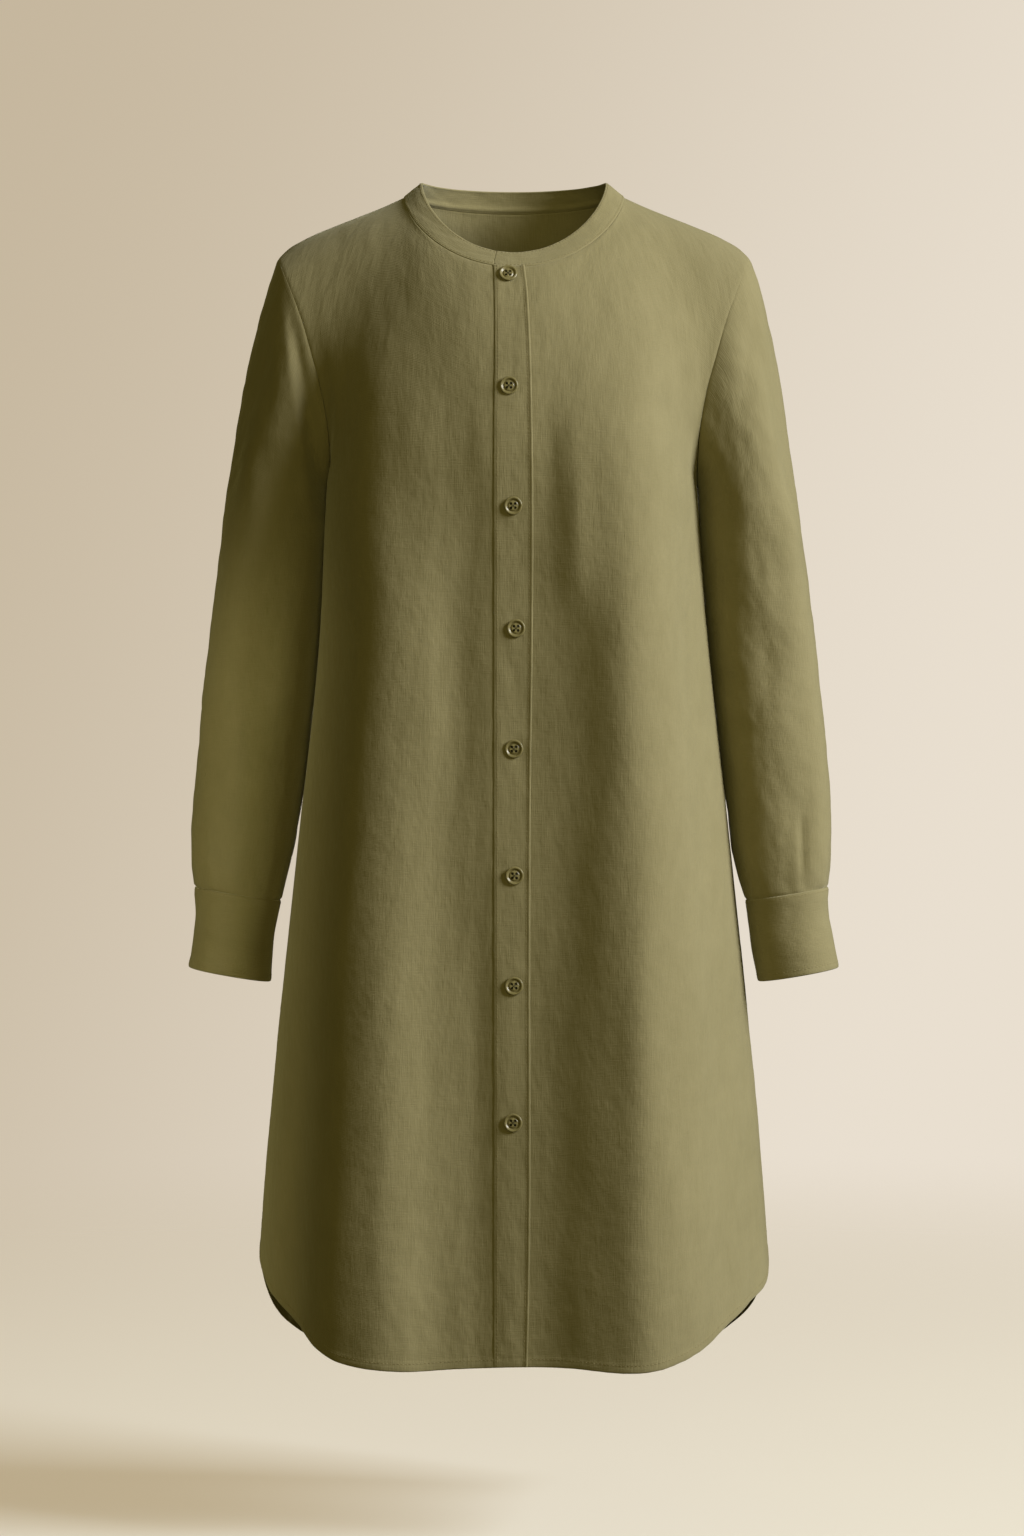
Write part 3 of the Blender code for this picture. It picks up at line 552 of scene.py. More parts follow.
def share_at(x, level):
    """The share of the front at which its outer face has the given x, near the middle."""
    step = 0.04
    level = np.asarray(level, dtype=float)
    middle = body(np.zeros_like(level), level, FRONT)[..., 0]
    beside = body(np.full_like(level, step), level, FRONT)[..., 0]
    return (x - middle) / (beside - middle) * step


def sleeve_section(side, turn, height):
    """A sleeve below its cap: turn 0 outside, 0.25 front, 0.5 inside."""
    shape = np.moveaxis(along(SLEEVE, height), -1, 0)
    outer, inner = shape[:2] if side == RIGHT else shape[2:4]
    front, back_edge, tilt = shape[4:]
    sine, cosine, reach = rounded_section(turn * TURN, SLEEVE_SQUARENESS)
    x = (outer - inner) / 2 * reach * cosine
    y = (front - back_edge) / 2 * reach * sine
    middle_x, middle_y = (outer + inner) / 2, (front + back_edge) / 2
    return np.stack([middle_x + x, middle_y + y, height + tilt * x], axis=-1)


def sleeve(side, turn, level):
    """A sleeve's outer face: level 0 at the armhole, 1 below the cap, 2 at the cuff's seam."""
    step = 0.01
    top = np.full(turn.shape, SLEEVE_START)
    front = armhole(np.clip(1 - 2 * turn, 0, 1), FRONT)
    behind = armhole(np.clip(2 * turn - 1, 0, 1), BACK)
    start = np.where((turn < 0.5)[..., None], front, behind)
    end = sleeve_section(side, turn, top)
    length = np.linalg.norm(end - start, axis=-1, keepdims=True)
    down = (sleeve_section(side, turn, top - step) - end) / step
    way = np.clip(level, 0, 1)[..., None]
    cap = hermite(start, along(SLEEVE_LEAVING, turn), end, down * length, way)
    height = SLEEVE_START + (CUFF_TOP - SLEEVE_START) * np.clip(level - 1, 0, 1)
    point = np.where((level > 1)[..., None], sleeve_section(side, turn, height), cap)
    rise = folds(SLEEVE_FOLDS, turn, point[..., 2], SLEEVE_FOLD_FADE)
    angle = turn * TURN
    outward = np.stack([np.cos(angle), -np.sin(angle), np.zeros_like(angle)], axis=-1)
    return point + rise[..., None] * outward


def waves(kind, u, v, seed):
    """A smooth, uneven surface of one kind over places in metres."""
    height, length, stretch = kind
    random = np.random.default_rng(seed)
    total = np.zeros(np.broadcast(u, v).shape)
    for _ in range(WAVES):
        angle = random.uniform(0, TURN)
        rate = TURN / (length * random.uniform(*WAVE_LENGTHS))
        phase = random.uniform(0, TURN)
        total += np.sin(rate * (u * math.cos(angle) + v / stretch * math.sin(angle)) + phase)
    return height * total / math.sqrt(WAVES / 2)


def creases(table, x, z):
    """How far the creases of a table stand out at places in the front view."""
    total = np.zeros(np.broadcast(x, z).shape)
    for x0, z0, x1, z1, bow, width, height in np.array(table) * MM:
        dx, dz = x1 - x0, z1 - z0
        length = math.hypot(dx, dz)
        way = ((x - x0) * dx + (z - z0) * dz) / length**2
        held = np.clip(way, 0, 1)
        off = ((z - z0) * dx - (x - x0) * dz) / length - 4 * bow * held * (1 - held)
        beyond = np.abs(way - held) * length
        wide = width * (CREASE_START + CREASE_SPREAD * held)
        ends = ease(held / CREASE_FADE) * ease((1 - held) / CREASE_FADE)
        total += height * ends * np.exp(-((off / wide) ** 2) - (beyond / width) ** 2)
    return total


def ridge(distance, shape):
    """The height of a ridge or dip at distances from its edge or seam."""
    place, height, reach = shape
    return height * np.exp(-(((distance - place) / reach) ** 2))


def spaced(length, step, places=EDGE_PLACES, both=True):
    """Shares of a length from 0 to 1, closer together near its start and, with both, its end."""
    inner = max(int(round(length / step)), FEWEST_STEPS)
    start = np.array(places) / length
    middle = np.linspace(0, 1, inner + 1)[1:-1]
    clear = start[-1] * CLEARANCE
    middle = middle[(middle > clear) & (middle < (1 - clear if both else 1))]
    return np.concatenate([[0], start, middle, 1 - start[::-1] if both else [], [1]])


def distances(grid, axis):
    """Lengths along a grid's rows or columns, from their first point."""
    steps = np.linalg.norm(np.diff(grid, axis=axis), axis=-1)
    pad = [(0, 0), (0, 0)]
    pad[axis] = (1, 0)
    return np.pad(np.cumsum(steps, axis=axis), pad)


def looped(grid):
    """A tube's grid with its first column again at the end."""
    return np.concatenate([grid, grid[:, :1]], axis=1)


def normals(grid, closed):
    """Unit normals of a grid whose rows run up and columns run right, seen from outside."""
    if closed:
        grid = np.concatenate([grid[:, -1:], grid, grid[:, :1]], axis=1)
    normal = unit(np.cross(np.gradient(grid, axis=1), np.gradient(grid, axis=0)))
    return normal[:, 1:-1] if closed else normal


def weave_places(grid, closed, middle):
    """Distances across and up the cloth at each point; a tube has one more column.

    Threads run across from a middle column, or along the middle row where none is given.
    """
    grid = looped(grid) if closed else grid
    across, up = distances(grid, 1), distances(grid, 0)
    if middle is None:
        across = np.broadcast_to(across[len(grid) // 2], across.shape)
        up = up.mean(axis=1, keepdims=True)
    else:
        across = across - across[:, middle : middle + 1]
        up = up[:, middle : middle + 1]
    return np.stack([across, np.broadcast_to(up, across.shape)], axis=-1)


class Cloth:
    """A piece of cloth: its outer face as a grid, seen from outside, its normals and weave."""

    def __init__(self, name, grid, thickness, closed=False, middle=None, turned=False):
        self.name = name
        self.grid = grid
        self.thickness = thickness
        self.closed = closed
        self.normal = normals(grid, closed)
        weave = weave_places(grid, closed, middle)
        self.weave = weave[..., ::-1] if turned else weave

    def raise_by(self, rise):
        self.grid = self.grid + rise[..., None] * self.normal


def add_object(name, data):
    made = bpy.data.objects.new(name, data)
    bpy.context.scene.collection.objects.link(made)
    return made


def add_part(name, mesh, matrix=None):
    made = add_object(name, mesh)
    if matrix:
        made.matrix_world = matrix
        bpy.context.view_layer.update()
    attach(made, "root")
    return made


def add_cloth(name, mesh, material):
    mesh.materials.append(material)
    return add_part(name, mesh)


def corners(grid):
    """The four corners of each of a grid's quads."""
    return np.stack([grid[:-1, :-1], grid[:-1, 1:], grid[1:, 1:], grid[1:, :-1]], axis=2)


def build_mesh(name, points, faces, places):
    """A smooth mesh from points, quads and the weave's places at each quad's corners."""
    mesh = bpy.data.meshes.new(name)
    mesh.vertices.add(len(points))
    mesh.vertices.foreach_set("co", np.ascontiguousarray(points, np.float32).ravel())
    mesh.loops.add(faces.size)
    mesh.loops.foreach_set("vertex_index", faces.ravel().astype(np.int32))
    mesh.polygons.add(len(faces))
    mesh.polygons.foreach_set("loop_start", np.arange(0, faces.size, 4, dtype=np.int32))
    layer = mesh.uv_layers.new(name="weave")
    layer.data.foreach_set("uv", np.ascontiguousarray(places, np.float32).ravel())
    mesh.update(calc_edges=True)
    mesh.validate()
    mesh.shade_smooth()
    return mesh


def make_shell(piece, material, node_name):
    """The piece as a closed thin shell: outer face, rounded edges and inner face."""
    outer, normal, weave = piece.grid, piece.normal, piece.weave
    rows, columns = outer.shape[:2]
    depth = piece.thickness * np.ones_like(outer[..., :1])
    half = outer - depth * 0.5 * normal
    top = half[-1] + EDGE_ROUND * depth[-1] * unit(half[-1] - half[-2])
    bottom = half[0] + EDGE_ROUND * depth[0] * unit(half[0] - half[1])
    around = np.concatenate([outer, top[None], (outer - depth * normal)[::-1], bottom[None]])
    numbers = np.arange(len(around) * columns).reshape(-1, columns)
    turned = np.concatenate([numbers, numbers[:1]])
    places = np.concatenate([weave, weave[-1:], weave[::-1], weave[:1], weave[:1]])
    faces = corners(looped(turned) if piece.closed else turned).reshape(-1, 4)
    spots = corners(places).reshape(-1, 4, 2)
    ends = []
    for column, way in () if piece.closed else ((0, 1), (columns - 1, -1)):
        front = numbers[:rows, column]
        behind = numbers[rows + 1 : 2 * rows + 1, column][::-1]
        strip = np.stack([front[:-1], front[1:], behind[1:], behind[:-1]], axis=1)
        rim = weave[:, column]
        spot = np.stack([rim[:-1], rim[1:], rim[1:], rim[:-1]], axis=1)
        faces = np.concatenate([faces, strip[:, ::way]])
        spots = np.concatenate([spots, spot[:, ::way]])
        ends.append((front[-1], numbers[rows, column], behind[-1])[::way])
        ends.append((behind[0], numbers[-1, column], front[0])[::way])
    mesh = build_mesh(piece.name, around.reshape(-1, 3), faces, spots)
    if ends:
        close_ends(mesh, ends)
    piece.made = add_cloth(piece.name, mesh, material)
    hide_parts(node_name)


def close_ends(mesh, ends):
    """The small triangles at the ends of a shell's side rims."""
    work = bmesh.new()
    work.from_mesh(mesh)
    work.verts.ensure_lookup_table()
    for end in ends:
        work.faces.new([work.verts[int(number)] for number in end])
    work.to_mesh(mesh)
    work.free()


def body_rows():
    """Levels from the hem to the neck and shoulders, close together at the hem's turn."""
    lower = spaced(SKIRT_LENGTH, BODY_STEP, HEM_PLACES, False)
    upper = 1 + spaced(CHEST_LENGTH, CHEST_STEP, CHEST_PLACES)
    return np.concatenate([lower, upper[1:]])[:, None]


def seam_distances(grid):
    """Distances of a body panel's points from its top and side seams."""
    up = distances(grid, 0)
    across = distances(grid, 1)
    return up[-1:] - up, across, across[:, -1:] - across


def dress_panel(piece, facing, outer_sides):
    """Creases, soft unevenness, the hem's turn and the seams' dips of a body panel."""
    x, z = piece.grid[..., 0], piece.grid[..., 2]
    to_top, *to_sides = seam_distances(piece.grid)
    sides = [side for side, outer in zip(to_sides, outer_sides) if outer]
    seed = BODY_SEEDS[facing]
    rise = creases(FRONT_CREASES if facing == FRONT else BACK_CREASES, x, z)
    rise += waves(BODY_WAVES, x, z, seed) + waves(BODY_SMALL_WAVES, x, z, seed + 1)
    rise += ease((SKIRT_TOP - z) / SKIRT_FADE) * waves(SKIRT_WAVES, x, z, seed + 2)
    rise *= ease(to_top / TOP_FADE)
    for side in sides:
        rise *= ease(side / SIDE_FADE)
    from_hem = distances(piece.grid, 0)
    rise += HEM_RISE * (1 - ease((from_hem - HEM_TURN) / HEM_STEP + 0.5))
    rise += ridge(from_hem, HEM_EDGE) + ridge(from_hem, HEM_STITCHING)
    rise += waves(HEM_WAVES, x, 0, seed + 5) * np.exp(-((from_hem / HEM_FADE) ** 2))
    for edge in (to_top, *sides):
        rise += ridge(edge, SEAM_DIP)
    piece.raise_by(rise)


def soften(grid):
    """Evens out the chest under the corners between neck and shoulders."""
    to_top, to_left, to_right = seam_distances(grid)
    x, z = np.abs(grid[..., 0]), grid[..., 2]
    hold = CHEST_PULL * ease((x - CHEST_EDGE) / CHEST_EDGE)
    hold *= ease((z - CHEST_BOTTOM) / CHEST_FADE)
    for distance in (to_top, np.minimum(to_left, to_right)):
        hold *= ease(distance / CHEST_EDGE)
    for _ in range(CHEST_ROUNDS):
        even = (grid[:, :-2] + grid[:, 2:]) / 2
        grid = grid.copy()
        grid[:, 1:-1] += hold[:, 1:-1, None] * (even - grid[:, 1:-1])
    return grid


def make_panels():
    """The right and left front and the back, with the column that each one's weave starts from."""
    levels = body_rows()
    edge = share_at(FRONT_EDGE, levels)
    ways = spaced(FRONT_WIDTH, BODY_STEP)[None, :]
    across = spaced(BACK_WIDTH, BODY_STEP)[None, :]
    pieces = []
    for name, facing, share, middle, outer_sides in (
        ("right_front_cloth", FRONT, -1 + (edge + 1) * ways, ways.size - 1, (True, False)),
        ("left_front_cloth", FRONT, edge + (1 - edge) * ways, 0, (False, True)),
        ("back_cloth", BACK, 1 - 2 * across, across.size // 2, (True, True)),
    ):
        grid = body(share, levels, facing)
        grid = soften(grid) if facing == FRONT else grid
        pieces.append(Cloth(name, grid, CLOTH, middle=middle))
        dress_panel(pieces[-1], facing, outer_sides)
    return pieces


def make_band():
    opening = float(share_at(PLACKET[-1][1], 2)) / NECK_SHARE
    turns = opening + 4 * spaced(BAND_LENGTH, BAND_STEPS[0], BAND_END_PLACES)[None, :]
    ways = spaced(BAND_WIDTH, BAND_STEPS[1], BAND_EDGE_PLACES)[:, None]
    grid = neck_loop(*np.broadcast_arrays(turns, ways))
    piece = Cloth("neck_band_cloth", grid, DOUBLE_CLOTH, turned=True)
    up, across = distances(grid, 0), distances(grid, 1)
    ends = np.minimum(across, across[:, -1:] - across)
    rise = ridge(up, BAND_SEAM) + ridge(up[-1:] - up, BAND_EDGE)
    rise += ridge(up, BAND_STITCHING) + ridge(ends, BAND_END)
    rise += waves(BAND_WAVES, across, up, BAND_SEED) * ease(up / BAND_FADE)
    piece.raise_by(rise + BAND_LIFT)
    piece.thickness = DOUBLE_CLOTH + ridge(up, BAND_ROLL)[..., None]
    return piece


def placket_profile(right, left, across):
    """How far the placket's outer face stands off the front, by place across."""
    bevel = PLACKET_BEVEL * np.exp(-(across - right) / PLACKET_BEVEL_REACH)
    way = np.clip((across - right) / (left - right), 0, 1)
    crown = PLACKET_CROWN * np.sin(math.pi * way)
    return PLACKET_RISE * (1 - bevel) + crown + ridge(left - across, PLACKET_RIDGE)


def make_placket():
    levels = body_rows()
    heights = body(np.zeros_like(levels), levels, FRONT)[:, 0, 2]
    right, left = (side[:, None] for side in along(PLACKET, heights).T)
    ways = spaced(PLACKET_WIDTH, PLACKET_STEP, PLACKET_PLACES)[None, :]
    across = right + (left - right) * ways
    shares = share_at(across, np.broadcast_to(levels, across.shape))
    piece = Cloth("placket_cloth", body(shares, levels, FRONT), PLACKET_CLOTH)
    x, z = piece.grid[..., 0], piece.grid[..., 2]
    from_hem = distances(piece.grid, 0)
    seed = BODY_SEEDS[FRONT]
    rise = creases(FRONT_CREASES, x, z)
    rise += waves(BODY_WAVES, x, z, seed) + waves(PLACKET_WAVES, x, z, seed + 1)
    rise *= ease((from_hem[-1:] - from_hem) / TOP_FADE)
    rise += placket_profile(right, left, across) + waves(PLACKET_SMALL_WAVES, x, z, PLACKET_SEED)
    for button_x, button_z in BUTTONS:
        away = np.hypot(x - button_x, z - button_z)
        rise += ridge(away, BUTTON_DENT) + ridge(away, BUTTON_PUCKER)
    rise += ridge(from_hem, HEM_EDGE) + ridge(from_hem, PLACKET_HEM_STITCHING)
    piece.raise_by(rise)
    return piece


def make_tube(side, name, shape, levels, thickness, turned=False):
    """A sleeve or cuff with the angle of each of its points round the arm."""
    turns = np.linspace(0.5, 1.5, ARM_COLUMNS + 1)[None, :-1] % 1
    turns, levels = np.broadcast_arrays(turns, levels[:, None])
    grid, turns = shape(side, turns, levels)[::-1], turns[::-1]
    if side == LEFT:
        grid, turns = grid[:, ::-1], turns[:, ::-1]
    else:
        grid = grid * np.array([-1, 1, 1])
    name = f"{SIDE_NAMES[side]}_{name}_cloth"
    return Cloth(name, grid, thickness, closed=True, turned=turned), turns * TURN


def make_sleeve(side):
    cap = spaced(CAP_LENGTH, ARM_STEP, both=False)
    arm = spaced(ARM_LENGTH, ARM_STEP, (ARM_STEP,), False)[1:]
    arm = np.sort(np.concatenate([arm, 1 - np.array(EDGE_PLACES) / ARM_LENGTH]))
    piece, angle = make_tube(side, "sleeve", sleeve, np.concatenate([cap, 1 + arm]), CLOTH)
    x, z = np.abs(piece.grid[..., 0]), piece.grid[..., 2]
    from_cuff = distances(piece.grid, 0)
    to_top = from_cuff[-1:] - from_cuff
    u, w = ARM_RADIUS * np.cos(angle), ARM_RADIUS * np.sin(angle)
    front = ease(np.sin(angle) / 0.5 + 0.5)
    seed = SLEEVE_SEEDS[side]
    rise = front * creases(SLEEVE_FRONT_CREASES[side], x, z)
    rise += (1 - front) * creases(SLEEVE_BACK_CREASES[side], x, z)
    rise += waves(SLEEVE_WAVES, u + z * SLEEVE_SLANT, z + w * SLEEVE_TURN, seed)
    rise += waves(SLEEVE_SMALL_WAVES, u * SLEEVE_SMALL_TURN + w, z - w, seed + 1)
    rise *= ease(to_top / ARMHOLE_FADE) * ease(from_cuff / CUFF_FADE)
    gather = waves(SLEEVE_GATHER, angle * CUFF_RADIUS, 0, seed + 2)
    rise += gather * np.exp(-from_cuff / GATHER_REACH) * ease(from_cuff / GATHER_START)
    rise += ridge(to_top, ARMHOLE_DIP) + ridge(from_cuff, SLEEVE_CUFF_DIP)
    piece.raise_by(rise)
    return piece


def make_cuff(side):
    length = CUFF_TOP - CUFF_BOTTOM
    heights = CUFF_TOP - length * spaced(length, CUFF_STEP, CUFF_PLACES)
    piece, angle = make_tube(side, "cuff", sleeve_section, heights, DOUBLE_CLOTH, turned=True)
    up = distances(piece.grid, 0)
    down = up[-1:] - up
    rise = CUFF_LIFT + ridge(up, CUFF_EDGE) + ridge(down, CUFF_EDGE)
    rise += ridge(down, CUFF_SEAM) + ridge(up, CUFF_STITCHING)
    v = up + CUFF_TURN * ARM_RADIUS * np.sin(angle)
    rise += waves(CUFF_WAVES, CUFF_RADIUS * angle, v, CUFF_SEEDS[side]) * ease(down / CUFF_FADE)
    piece.raise_by(rise)
    return piece


def line_along(piece, distance, from_end=False, axis=0):
    """The line at a distance from a piece's lower or upper edge; with axis 1, its left or right."""
    grid, normal = piece.grid.swapaxes(0, axis), piece.normal.swapaxes(0, axis)
    reach = distances(grid, 0)
    target = reach[-1] - distance if from_end else np.full(reach.shape[1], distance)
    columns = np.arange(reach.shape[1])
    after = np.clip((reach < target).sum(axis=0), 1, len(reach) - 1)
    low, high = reach[after - 1, columns], reach[after, columns]
    way = ((target - low) / (high - low))[:, None]
    line = grid[after - 1, columns] * (1 - way) + grid[after, columns] * way
    normal = normal[after, columns]
    if piece.closed:
        return np.concatenate([line, line[:1]]), np.concatenate([normal, normal[:1]])
    return line, normal


def add_stitches(name, runs, material):
    """Short stitches along lines of points with normals, as one mesh."""
    sides = len(STITCH_CORNERS)
    count_each = sides * len(STITCH_RINGS)
    pattern = corners(looped(np.arange(count_each).reshape(-1, sides))).reshape(-1, 4)
    pattern = np.concatenate([pattern, [[3, 2, 1, 0], [12, 13, 14, 15]]])
    shares, sizes, lifts = np.array(STITCH_RINGS).T
    across = THREAD_WIDENING * sizes[:, None] * np.cos(STITCH_CORNERS)
    rise = sizes[:, None] * np.sin(STITCH_CORNERS) + lifts[:, None]
    points, faces, made = [], [], 0
    for line, normal in runs:
        steps = np.linalg.norm(np.diff(line, axis=0), axis=1)
        reach = np.concatenate([[0], np.cumsum(steps)])
        count = int(reach[-1] / STITCH_PITCH)
        starts = (np.arange(count) + STITCH_START) * reach[-1] / count
        stations = starts[:, None] + shares * STITCH
        here, out = (
            np.stack([np.interp(stations, reach, row) for row in values.T], axis=-1)
            for values in (line, normal)
        )
        out = unit(out)
        side = unit(np.cross(unit(here[:, -1:] - here[:, :1]), out))
        tubes = side[:, :, None] * across[..., None] + out[:, :, None] * rise[..., None]
        points.append((here[:, :, None] + THREAD * tubes).reshape(-1, 3))
        first = made + count_each * np.arange(count)[:, None, None]
        faces.append((first + pattern).reshape(-1, 4))
        made += count_each * count
    points, faces = np.concatenate(points), np.concatenate(faces)
    add_cloth(name, build_mesh(name, points, faces, points[faces][..., :2]), material)


def skin(work, rings):
    """Faces between rings of points; a ring of one point is a tip."""
    sides = max(map(len, rings))
    for lower, upper in zip(rings[:-1], rings[1:]):
        for side in range(sides):
            after = (side + 1) % sides
            spots = ((lower, side), (lower, after), (upper, after), (upper, side))
            work.faces.new(dict.fromkeys(points[spot % len(points)] for points, spot in spots))


def circle(radius, sides):
    angles = [TURN * side / sides for side in range(sides)]
    return [(radius * math.cos(angle), radius * math.sin(angle)) for angle in angles]


def finish_mesh(work, name):
    mesh = bpy.data.meshes.new(name)
    work.to_mesh(mesh)
    work.free()
    return mesh


def lathe(name, profile, radius, sides):
    work = bmesh.new()
    rings = []
    for reach, height in profile:
        ring_points = circle(radius * reach, sides) if reach else [(0, 0)]
        rings.append([work.verts.new((*point, height)) for point in ring_points])
    skin(work, rings)
    return add_object(name, finish_mesh(work, name))


def button_mesh():
    """The button with four holes through its dish."""
    blank = lathe("button_blank", BUTTON_PROFILE, BUTTON_RADIUS, BUTTON_SIDES)
    drills = []
    for across, up in ((1, 1), (-1, 1), (-1, -1), (1, -1)):
        drill = lathe("drill", DRILL_PROFILE, HOLE_RADIUS, DRILL_SIDES)
        drill.location = (across * HOLE_PLACE, up * HOLE_PLACE, 0)
        cut = blank.modifiers.new("hole", "BOOLEAN")
        cut.operation = "DIFFERENCE"
        cut.solver = "EXACT"
        cut.object = drill
        drills.append(drill)
    bpy.context.view_layer.update()
    graph = bpy.context.evaluated_depsgraph_get()
    mesh = bpy.data.meshes.new_from_object(blank.evaluated_get(graph))
    for thing in [blank, *drills]:
        bpy.data.objects.remove(thing)
    mesh.name = "button"
    mesh.shade_smooth()
    mesh.set_sharp_from_angle(angle=SHARP)
    return mesh


def thread_and_shade_disc_mesh():
    """Thread through the four holes, in a cross, over a dark disc behind the button that is painted
    shade in the holes.
    """
    work = bmesh.new()
    section = circle(STRAND_RADIUS, STRAND_SIDES)
    for turn, lift in ((45, 0), (135, STRAND_APART)):
        rotation = Matrix.Rotation(math.radians(turn), 3, "Z")
        for offset in (-STRAND_APART, STRAND_APART):
            rings = []
            for way in np.linspace(-1, 1, STRAND_RINGS):
                x, height = way * STRAND_REACH, STRAND_FOOT + STRAND_RISE * (1 - way**4) + lift
                points = [Vector((x, offset + y, height + z)) for y, z in section]
                rings.append([work.verts.new(rotation @ point) for point in points])
            skin(work, rings)
            work.faces.new(rings[0])
            work.faces.new(rings[-1][::-1])
    # a dark disc under the button: painted shade in its holes
    place = Matrix.Translation((0, 0, SHADE_DISC_DEPTH / 2))
    sizes = {"radius1": SHADE_DISC_RADIUS, "radius2": SHADE_DISC_RADIUS, "depth": SHADE_DISC_DEPTH}
    bmesh.ops.create_cone(work, cap_ends=True, segments=SHADE_DISC_SIDES, matrix=place, **sizes)
    bmesh.ops.recalc_face_normals(work, faces=work.faces)
    mesh = finish_mesh(work, "button_thread_and_hole_shade")
    mesh.shade_smooth()
    return mesh


def placket_frame(piece, across, height):
    """A point of the placket by its x and height, and its directions right, up and out."""
    flat = np.hypot(piece.grid[..., 0] - across, piece.grid[..., 2] - height)
    row, column = np.unravel_index(np.argmin(flat), flat.shape)
    rows, columns = (slice(max(at - NEAR, 0), at + NEAR + 1) for at in (row, column))
    out = unit(piece.normal[rows, column].mean(axis=0))
    point = piece.grid[rows, columns].reshape(-1, 3).mean(axis=0)
    right = unit(np.cross((0, 0, 1), out))
    up = np.cross(out, right)
    point = point + right * (across - point[0]) / right[0]
    return point + up * (height - point[2]) / up[2], right, up, out


def place_buttons(piece, plastic, thread):
    """The sewn buttons on the placket, each a little turned and tilted in its own way."""
    # the thread mesh holds the dark disc of painted shade behind the holes, and its material is
    # darkened as painted shade
    button, threads = button_mesh(), thread_and_shade_disc_mesh()
    button.materials.append(plastic)
    threads.materials.append(thread)
    for number, (across, height) in enumerate(BUTTONS, start=1):
        point, right, up, out = placket_frame(piece, across, height)
        tilt = TILT * math.sin(number * TILT_RATE)
        lean = LEAN * math.cos(number * LEAN_RATE) + LEAN_MEAN
        normal = unit(out + right * tilt + up * lean)
        side = unit(right - normal * (right @ normal))
        directions = np.stack([side, np.cross(normal, side), normal], axis=1)
        matrix = Matrix(directions.tolist()).to_4x4()
        matrix.translation = point + normal * SEATING
        matrix = matrix @ Matrix.Rotation(SPIN * math.sin(number * SPIN_RATE), 4, "Z")
        sewn = add_part(f"sewn_button_{number}", button, matrix)
        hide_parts(f"button_{number}")
        add_part(f"button_thread_and_hole_shade_{number}", threads, matrix)


def set_up(made, *values, **named):
    """Sets or links a node's inputs, by order or name, and its own settings in lower case."""
    for key, value in [*enumerate(values), *named.items()]:
        if isinstance(key, str) and key.islower():
            setattr(made, key, value)
            continue
        socket = made.inputs[key.replace("_", " ") if isinstance(key, str) else key]
        if isinstance(value, bpy.types.NodeSocket):
            made.id_data.links.new(value, socket)
        else:
            socket.default_value = value
    return made


def node(tree, kind, *values, **named):
    """A new shader node; an underscore in an input's name stands for a space."""
    return set_up(tree.nodes.new("ShaderNode" + kind), *values, **named)


def new_material(name, **named):
    """A material, its node tree and its shader, which has the given values."""
    material = bpy.data.materials.new(name)
    material.use_nodes = True
    tree = material.node_tree
    return material, tree, set_up(tree.nodes["Principled BSDF"], **named)


def between(tree, factor, dark, light):
    """A colour between two, by a socket."""
    ends = {"A": (*dark, 1), "B": (*light, 1)}
    return node(tree, "Mix", data_type="RGBA", Factor=factor, **ends).outputs["Result"]


def weave_coordinates(tree, across, up):
    """The weave's places, scaled to so many features a metre across and up."""
    place = node(tree, "UVMap", uv_map="weave").outputs["UV"]
    return node(tree, "Mapping", Vector=place, Scale=(across, up, 1)).outputs["Vector"]


def noise(tree, across, up, detail, rough):
    place = weave_coordinates(tree, across, up)
    named = {"noise_dimensions": "2D", "Scale": 1, "Detail": detail, "Roughness": rough}
    return node(tree, "TexNoise", Vector=place, **named).outputs["Fac"]


def weighed(tree, parts):
    """A half, plus what each socket differs from a half by, times its weight."""
    parts = [(socket, weight) for socket, weight in parts if weight]
    total = 0.5 - 0.5 * sum(weight for _, weight in parts)
    for socket, weight in parts:
        sum_node = node(tree, "Math", socket, weight, total, operation="MULTIPLY_ADD")
        total = sum_node.outputs[0]
    return total


def plain_weave(tree):
    """The height of warp and weft threads over and under each other."""
    place = weave_coordinates(tree, 1, 1)
    named = {"wave_type": "BANDS", "Scale": BAND_SCALE / WEAVE_PITCH, "Distortion": 0}
    threads = (
        node(tree, "TexWave", bands_direction=axis, Vector=place, **named).outputs["Fac"]
        for axis in "XY"
    )
    return node(tree, "Math", *threads, operation="MULTIPLY").outputs[0]


def cloth_material():
    """Matt linen and viscose: slubs along both threads, soft mottling, a fine bump and sheen."""
    sheen = {"Sheen_Weight": 0.35, "Sheen_Roughness": 0.45, "Sheen_Tint": SHEEN_TINT}
    matt = {"Roughness": 0.88, "Specular_IOR_Level": 0.25}
    material, tree, shader = new_material("olive_linen", **matt, **sheen)
    kinds = [(noise(tree, *kind), tone, bump) for *kind, tone, bump in CLOTH_NOISE]
    tones = weighed(tree, [(kind, tone) for kind, tone, _ in kinds])
    bumps = weighed(tree, [(kind, bump) for kind, _, bump in kinds])
    colour = between(tree, tones, DARK_CLOTH, LIGHT_CLOTH)
    coarse = node(tree, "Bump", Strength=0.55, Distance=0.0008, Height=bumps)
    fine = node(tree, "Bump", Strength=0.35, Distance=0.00022, Height=plain_weave(tree))
    set_up(fine, Normal=coarse.outputs["Normal"])
    set_up(shader, Base_Color=colour, Normal=fine.outputs["Normal"])
    return material


def speckled_material(name, dark, light, texture, **named):
    """A material between two colours, by noise over the object's own places."""
    material, tree, shader = new_material(name, **named)
    place = node(tree, "TexCoord").outputs["Object"]
    speckle = node(tree, "TexNoise", Vector=place, **texture).outputs["Fac"]
    set_up(shader, Base_Color=between(tree, speckle, dark, light))
    return material


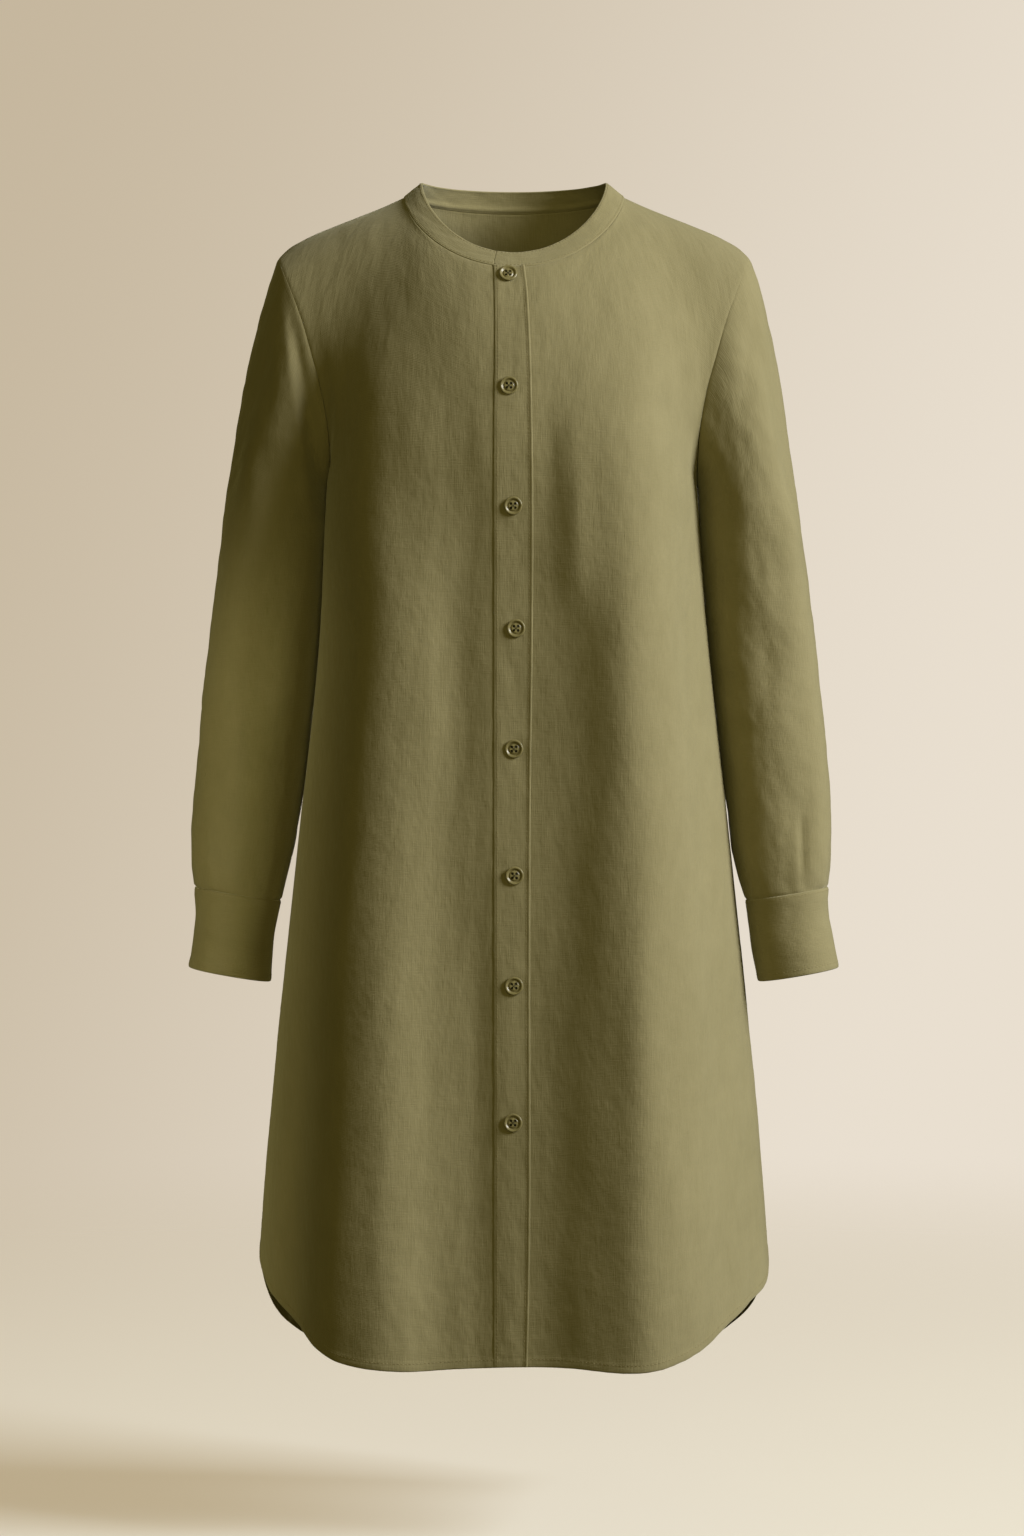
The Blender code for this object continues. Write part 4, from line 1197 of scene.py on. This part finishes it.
def thread_material(name, colour, roughness):
    dark, light = ([share * value for value in colour] for share in THREAD_TONES)
    grain = {"Scale": 900, "Detail": 2}
    return speckled_material(name, dark, light, grain, Roughness=roughness)


def button_material():
    swirl = {"Scale": 420, "Detail": 3, "Distortion": 1.5}
    shine = {"Roughness": 0.32, "Specular_IOR_Level": 0.5}
    return speckled_material("olive_button", DARK_BUTTON, LIGHT_BUTTON, swirl, **shine)


def make_dress():
    cloth = cloth_material()
    thread = thread_material("olive_thread", CLOTH_THREAD, 0.6)
    # very dark button thread: painted shade for the strands over the holes and the disc behind them
    button_thread_and_hole_shade = thread_material("dark_thread_and_hole_shade", BUTTON_THREAD_AND_HOLE_SHADE, 0.8)
    panels, band, strip = make_panels(), make_band(), make_placket()
    arms = {side: (make_sleeve(side), make_cuff(side)) for side in SIDE_NAMES}
    pieces = [*panels, band, strip, *arms[RIGHT], *arms[LEFT]]
    nodes = ["front_right", "front_left", "back", "collar_band", "placket"]
    nodes += [f"{part}_{side}" for side in SIDE_NAMES.values() for part in ("sleeve", "cuff")]
    for piece, node_name in zip(pieces, nodes):
        make_shell(piece, cloth, node_name)
    right, left = PLACKET_STITCH_LINES
    from_seam, from_edge = CUFF_STITCH_LINES
    lines = {
        "hem": [line_along(piece, HEM_STITCH_LINE) for piece in panels],
        "placket": [line_along(strip, right, axis=1), line_along(strip, left, True, 1)],
        "neck_band": [line_along(band, BAND_STITCH_LINE, from_top) for from_top in (False, True)],
    }
    for side, (_, cuff) in arms.items():
        edges = [line_along(cuff, from_seam, True), line_along(cuff, from_edge)]
        lines[f"{SIDE_NAMES[side]}_cuff"] = edges
    for name, runs in lines.items():
        add_stitches(f"{name}_stitches", runs, thread)
    place_buttons(strip, button_material(), button_thread_and_hole_shade)


def area_light(name, place, target, width, height, power, colour, spread):
    data = bpy.data.lights.new(name, "AREA")
    data.shape = "RECTANGLE"
    data.size, data.size_y = width, height
    data.energy, data.color = power, colour
    data.spread = math.radians(spread)
    made = add_object(name, data)
    made.location = place
    made.visible_camera = False
    way = Vector(target) - Vector(place)
    made.rotation_euler = way.to_track_quat("-Z", "Y").to_euler()


def make_room():
    """Pale surroundings behind the floor with painted light across them, a weak fill, the lights
    and the camera.
    """
    scene = bpy.context.scene
    scene.view_settings.view_transform = "Standard"
    scene.view_settings.look = "None"
    scene.world = bpy.data.worlds.new("surroundings")
    scene.world.use_nodes = True
    tree = scene.world.node_tree
    tree.nodes.clear()
    # what the camera sees behind the floor: the backdrop with its painted light
    seen = node(tree, "Background", Color=backdrop_colour(tree), Strength=1).outputs[0]
    lit = node(tree, "Background", Color=FILL_COLOUR, Strength=FILL).outputs[0]
    to_camera = node(tree, "LightPath").outputs["Is Camera Ray"]
    mix = node(tree, "MixShader", to_camera, lit, seen).outputs[0]
    node(tree, "OutputWorld", Surface=mix)
    for light in LIGHTS:
        area_light(*light)
    data = bpy.data.cameras.new("camera")
    data.lens, data.sensor_width = LENS, SENSOR
    camera = add_object("camera", data)
    camera.location = CAMERA
    camera.rotation_euler = (math.radians(90), 0, 0)
    scene.camera = camera


def backdrop_colour(tree):
    """Pale beige with painted light: brighter to the right, towards the key light, and a little
    darker towards the upper left.
    """
    place = node(tree, "TexCoord").outputs["Generated"]
    way = node(tree, "VectorMath", place, BACKDROP_WAY, operation="DOT_PRODUCT")
    span = {"Value": way.outputs["Value"], "From_Min": -0.20, "From_Max": 0.13}
    ramp = node(tree, "ValToRGB", Fac=node(tree, "MapRange", **span).outputs["Result"])
    ramp.color_ramp.interpolation = "EASE"
    for element, colour in zip(ramp.color_ramp.elements, (SHADED_BACKDROP, LIT_BACKDROP)):
        element.color = colour
    return ramp.outputs["Color"]


def make_floor():
    """A round floor whose rim fades out."""
    points = [(x, y, FLOOR) for x, y in circle(FLOOR_RADIUS, FLOOR_SIDES)]
    mesh = bpy.data.meshes.new("floor")
    mesh.from_pydata(points, [], [tuple(range(FLOOR_SIDES))])
    glow = {"Emission_Color": FLOOR_GLOW, "Emission_Strength": 0.45}
    material, tree, shader = new_material(
        "pale_floor", Base_Color=FLOOR_COLOUR, Roughness=0.9, **glow
    )
    place = node(tree, "TexCoord").outputs["Object"]
    length = node(tree, "VectorMath", place, operation="LENGTH").outputs["Value"]
    fade = {"From_Min": 1.2, "From_Max": 3.6, "To_Min": 1, "To_Max": 0, "Value": length}
    fade = node(tree, "MapRange", interpolation_type="SMOOTHSTEP", **fade)
    set_up(shader, Alpha=fade.outputs["Result"])
    mesh.materials.append(material)
    floor = add_object("floor", mesh)
    floor.visible_diffuse = floor.visible_glossy = False


make_dress()
make_floor()
make_room()
